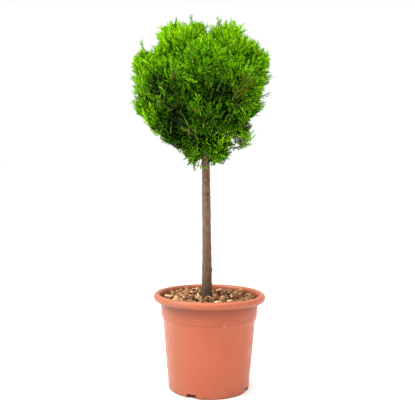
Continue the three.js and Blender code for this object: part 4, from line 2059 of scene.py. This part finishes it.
        path = np.array([stem(share) for share in (0.0, 0.3, 0.6, 0.86)])
        self.wood.add(path, habit.twig_radius * np.array((1.7, 1.35, 1.0, 0.6)), 3, Wood.GREEN)
        shaded = shoot.exposure < habit.shaded
        book, gap = (self.inner, habit.shade_gap) if shaded else (self.outer, habit.spray_gap)
        count = max(3, round(length * 0.8 / (gap * shoot.size)))
        for index in range(count):
            share = 0.03 + (0.95 - 0.2 * shoot.size) * (index + 0.5) / count
            last = index == count - 1
            turn = rng.normal(0, 40) if index % 3 == 1 else (90 if index % 2 else -90) + rng.normal(0, 26)
            around = math.radians(turn)
            radial = shoot.face * math.cos(around) + side * math.sin(around)
            lean = habit.spray_angle * (1.1 - 0.35 * share) * (1.6 - 0.6 * shoot.size) + rng.normal(0, 7)
            lean = 0.0 if last else math.radians(lean)
            rachis = unit(way * math.cos(lean) + radial * math.sin(lean))
            normal = shoot.face if last else np.cross(way, radial)
            if normal @ shoot.face < 0:
                normal = -normal
            size = shoot.size * rng.uniform(0.8, 1.1) * (1.08 - 0.3 * share)
            foot = stem(share)
            if any(rng.random() < spot.bare * spot.share(foot) for spot in self.spots):
                continue
            tint = self.tint(shoot, foot, share)
            # Painted shade: sprays on shaded shoots are held at MID or darker.
            if shaded and tint <= Tint.LIME:
                tint = min(tint, Tint.MID)
            self.set_spray(book, foot, rachis, normal, size, tint, shoot.proud)

    # -- wood --

    def fork(self, start: np.ndarray, way: np.ndarray, shoots: list[Shoot], radius: float) -> None:
        """Grows wood from a point to all the given shoots, forking as it goes.

        Args:
            start: Where the wood has come to.
            way: The way that it is heading.
            shoots: The shoots that it still has to reach.
            radius: Its radius at the start.
        """
        thinnest = self.habit.twig_radius * 1.6
        if len(shoots) == 1:
            self.limb(start, way, shoots[0].base, (radius, thinnest))
            return
        bases = np.array([shoot.base for shoot in shoots])
        spread = bases - bases.mean(0)
        order = np.argsort(spread @ np.linalg.svd(spread, full_matrices=False)[2][0])
        cut = int(np.clip(round(len(shoots) * self.rng.uniform(0.38, 0.62)), 1, len(shoots) - 1))
        for group in (order[:cut], order[cut:]):
            members = [shoots[index] for index in group]
            thin = max(radius * (len(members) / len(shoots)) ** 0.42, thinnest)
            if len(members) == 1:
                self.fork(start, way, members, thin)
                continue
            middle = bases[group].mean(0)
            goal = self.drawn_in(start + (middle - start) * (0.42 if len(members) > 3 else 0.55), middle)
            heading = self.limb(start, way, goal, (thin, thin * 0.9))
            self.fork(goal, heading, members, thin * 0.9)

    def limb(
        self, start: np.ndarray, way: np.ndarray, end: np.ndarray, radii: tuple[float, float]
    ) -> np.ndarray:
        """Adds one curved length of wood with its inner sprays.

        Args:
            start: Where it starts.
            way: The way that it sets off.
            end: Where it ends.
            radii: Its radius at both ends.

        Returns:
            The way that it heads at its end.
        """
        habit, rng = self.habit, self.rng
        reach = float(np.linalg.norm(end - start))
        middle = (start + end) / 2 + unit(way) * reach * 0.16 + rng.normal(0, reach * 0.03, 3)
        shares = np.array((0.0, 0.33, 0.66, 1.0))[:, None]
        path = start * (1 - shares) ** 2 + middle * 2 * shares * (1 - shares) + end * shares**2
        kind = Wood.BRANCH if radii[0] > 2.2 else Wood.TWIG
        self.wood.add(path, np.linspace(*radii, 4), 5 if radii[0] > 2 else 3, kind)
        heading = unit(path[-1] - path[-2])
        for _ in range(int(reach / habit.inner_gap + rng.random())):
            foot = start + (end - start) * rng.random()
            if self.near_core(foot):
                continue
            rachis = unit(heading * 0.5 + UP * 0.35 + rng.normal(0, 0.6, 3))
            # Painted shade: the inner sprays along the wood are dealt the two darkest greens.
            tint = Tint.SHADE if rng.random() < 0.6 else Tint.DEEP
            size = rng.uniform(0.7, 1.05)
            self.set_spray(self.inner, foot, rachis, rng.normal(size=3), size, tint, habit.inner_proud)
        return heading

    def grow(self, mass: str) -> None:
        """Grows one mass: its wood and its sprays, each joined as a piece.

        Every shoot's leaves have a random seed of their own.

        Args:
            mass: The mass's name.
        """
        order = list(self.boughs).index(mass) + 1
        self.rng = np.random.default_rng((SEED, order))
        self.sprays, self.wood = [], Tubes()
        low, high = self.boxes[mass]
        reach = float(min(high - low)) * 0.85
        shoots = [self.shoot(point, normal, exposure, reach) for point, normal, exposure in self.tips(mass)]
        for filling in self.fillings:
            if filling.mass == mass:
                shoots += self.filling_shoots(filling)
        shoots += [self.stray_shoot(stray) for stray in self.strays if stray.mass == mass]
        for index, shoot in enumerate(shoots):
            self.rng = np.random.default_rng((SEED, order, index))
            self.leaf_out(shoot)
        bough = self.boughs[mass]
        heading = unit(bough.path[-1] - bough.path[-2])
        self.fork(bough.path[-1] - heading * 3, heading, shoots, float(bough.radii[-1]) * 0.95)
        twigs = Triangles.joined(self.wood.parts).to_object(f"twigs_{mass}")
        place_on_frame(twigs, "bough_bark", materials=self.wood_materials)
        leaves = Triangles.joined([spray.triangles() for spray in self.sprays])
        leaves = leaves.to_object(f"sprays_{mass}")
        place_on_frame(leaves, "foliage", f"foliage_{mass}", materials=self.leaf_materials)

    def build(self) -> None:
        """Grows every mass in turn."""
        for mass in self.boughs:
            self.grow(mass)


# ---- Studio ----


@dataclass(frozen=True)
class Softbox:
    """A large, square area light: its place, size and power."""

    name: str
    place: tuple[float, float, float]
    size: float
    power: float


@dataclass
class Studio:
    """A plain pale floor, white surroundings, soft light and the camera."""

    camera_place: tuple[float, float, float] = (-0.0083, -1.6224, 0.5589)
    camera_dip: float = 1.606
    camera_roll: float = 0.6
    lens: float = 49.30
    ambient: float = 0.33
    overhead: float = 1.6
    backdrop: float = 0.85
    aim: tuple[float, float, float] = (0.0, 0.0, 0.6)
    floor_radius: float = 9.0
    floor_white: tuple[Colour, Colour] = ((0.95, 0.95, 0.95, 1), (0.98, 0.98, 0.98, 1))
    softboxes: tuple[Softbox, ...] = (
        Softbox("softbox_left", (-2.2, -0.85, 2.45), 1.6, 82),
        Softbox("softbox_top", (-0.3, -0.2, 3.2), 2.6, 110),
    )

    def floor(self) -> None:
        """A wide round sweep under the pot."""
        deselect_everything()
        bpy.ops.mesh.primitive_circle_add(vertices=96, radius=self.floor_radius, fill_type="NGON")
        floor = bpy.context.object
        floor.name = "studio_floor"
        recipe = Recipe("studio_floor", roughness=0.55, specular=0.3)
        cloud = recipe.effect(Effect.MOTTLE, scale=0.6, contrast=1.0)
        floor.data.materials.append(recipe.finish(recipe.blend(cloud, *self.floor_white)))

    def surroundings(self) -> None:
        """A white tent that is brightest overhead and dimmest in front, and looks plain white."""
        scene = bpy.context.scene
        world = scene.world or bpy.data.worlds.new("studio")
        scene.world = world
        world.use_nodes = True
        wiring = Wiring(world.node_tree)
        background = world.node_tree.nodes.get("Background")
        direction = wiring.node("ShaderNodeTexCoord").outputs["Generated"]
        way = wiring.node("ShaderNodeSeparateXYZ", {0: direction}).outputs
        overhead = wiring.spread(way["Z"], 0.15, 0.95, self.ambient, self.overhead)
        behind = wiring.spread(way["Y"], -0.6, 0.3, 0.0, self.backdrop)
        lit = wiring.node("ShaderNodeMath", {0: overhead, 1: behind}, operation="MAXIMUM").outputs[0]
        seen = wiring.node("ShaderNodeLightPath").outputs["Is Camera Ray"]
        strength = wiring.node("ShaderNodeMapRange", {"Value": seen, "To Min": lit, "To Max": 1.0})
        wiring.feed(background.inputs["Strength"], strength.outputs[0])
        background.inputs["Color"].default_value = (1, 1, 1, 1)

    def light(self) -> None:
        """The softboxes, each turned to the plant."""
        for box in self.softboxes:
            data = bpy.data.lights.new(box.name, "AREA")
            data.shape, data.size, data.energy = "SQUARE", box.size, box.power
            lamp = bpy.data.objects.new(box.name, data)
            lamp.location = box.place
            lamp.rotation_euler = (Vector(self.aim) - Vector(box.place)).to_track_quat("-Z", "Y").to_euler()
            bpy.context.scene.collection.objects.link(lamp)
        settings = bpy.context.scene.view_settings
        settings.view_transform, settings.look = "Standard", "None"

    def camera(self) -> None:
        """The camera, in front of the plant and level with its trunk."""
        data = bpy.data.cameras.new("camera")
        data.lens, data.sensor_width = self.lens, 36.0
        camera = bpy.data.objects.new("camera", data)
        tilt = Matrix.Rotation(math.radians(90 - self.camera_dip), 4, "X")
        roll = Matrix.Rotation(math.radians(self.camera_roll), 4, "Z")
        camera.matrix_world = Matrix.Translation(self.camera_place) @ tilt @ roll
        bpy.context.scene.collection.objects.link(camera)
        bpy.context.scene.camera = camera

    def build(self) -> None:
        """Sets up the whole studio."""
        self.camera()
        self.floor()
        self.surroundings()
        self.light()


# ---- The whole plant ----


def main() -> None:
    """Builds the studio and the plant."""
    logging.basicConfig(level=logging.INFO, format="%(name)s: %(message)s")
    Studio().build()
    NurseryPot().build()
    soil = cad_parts["soil"]
    soil.data.materials.clear()
    soil.data.materials.append(PottingMix().build())
    BarkMulch().build()
    Trunk().build()
    masses = [name.removeprefix("foliage_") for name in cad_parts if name.startswith("foliage_")]
    boughs = Boughs(sorted(masses))
    boughs.build()
    Crown(boughs.boughs).build()


if __name__ == "__main__":
    main()
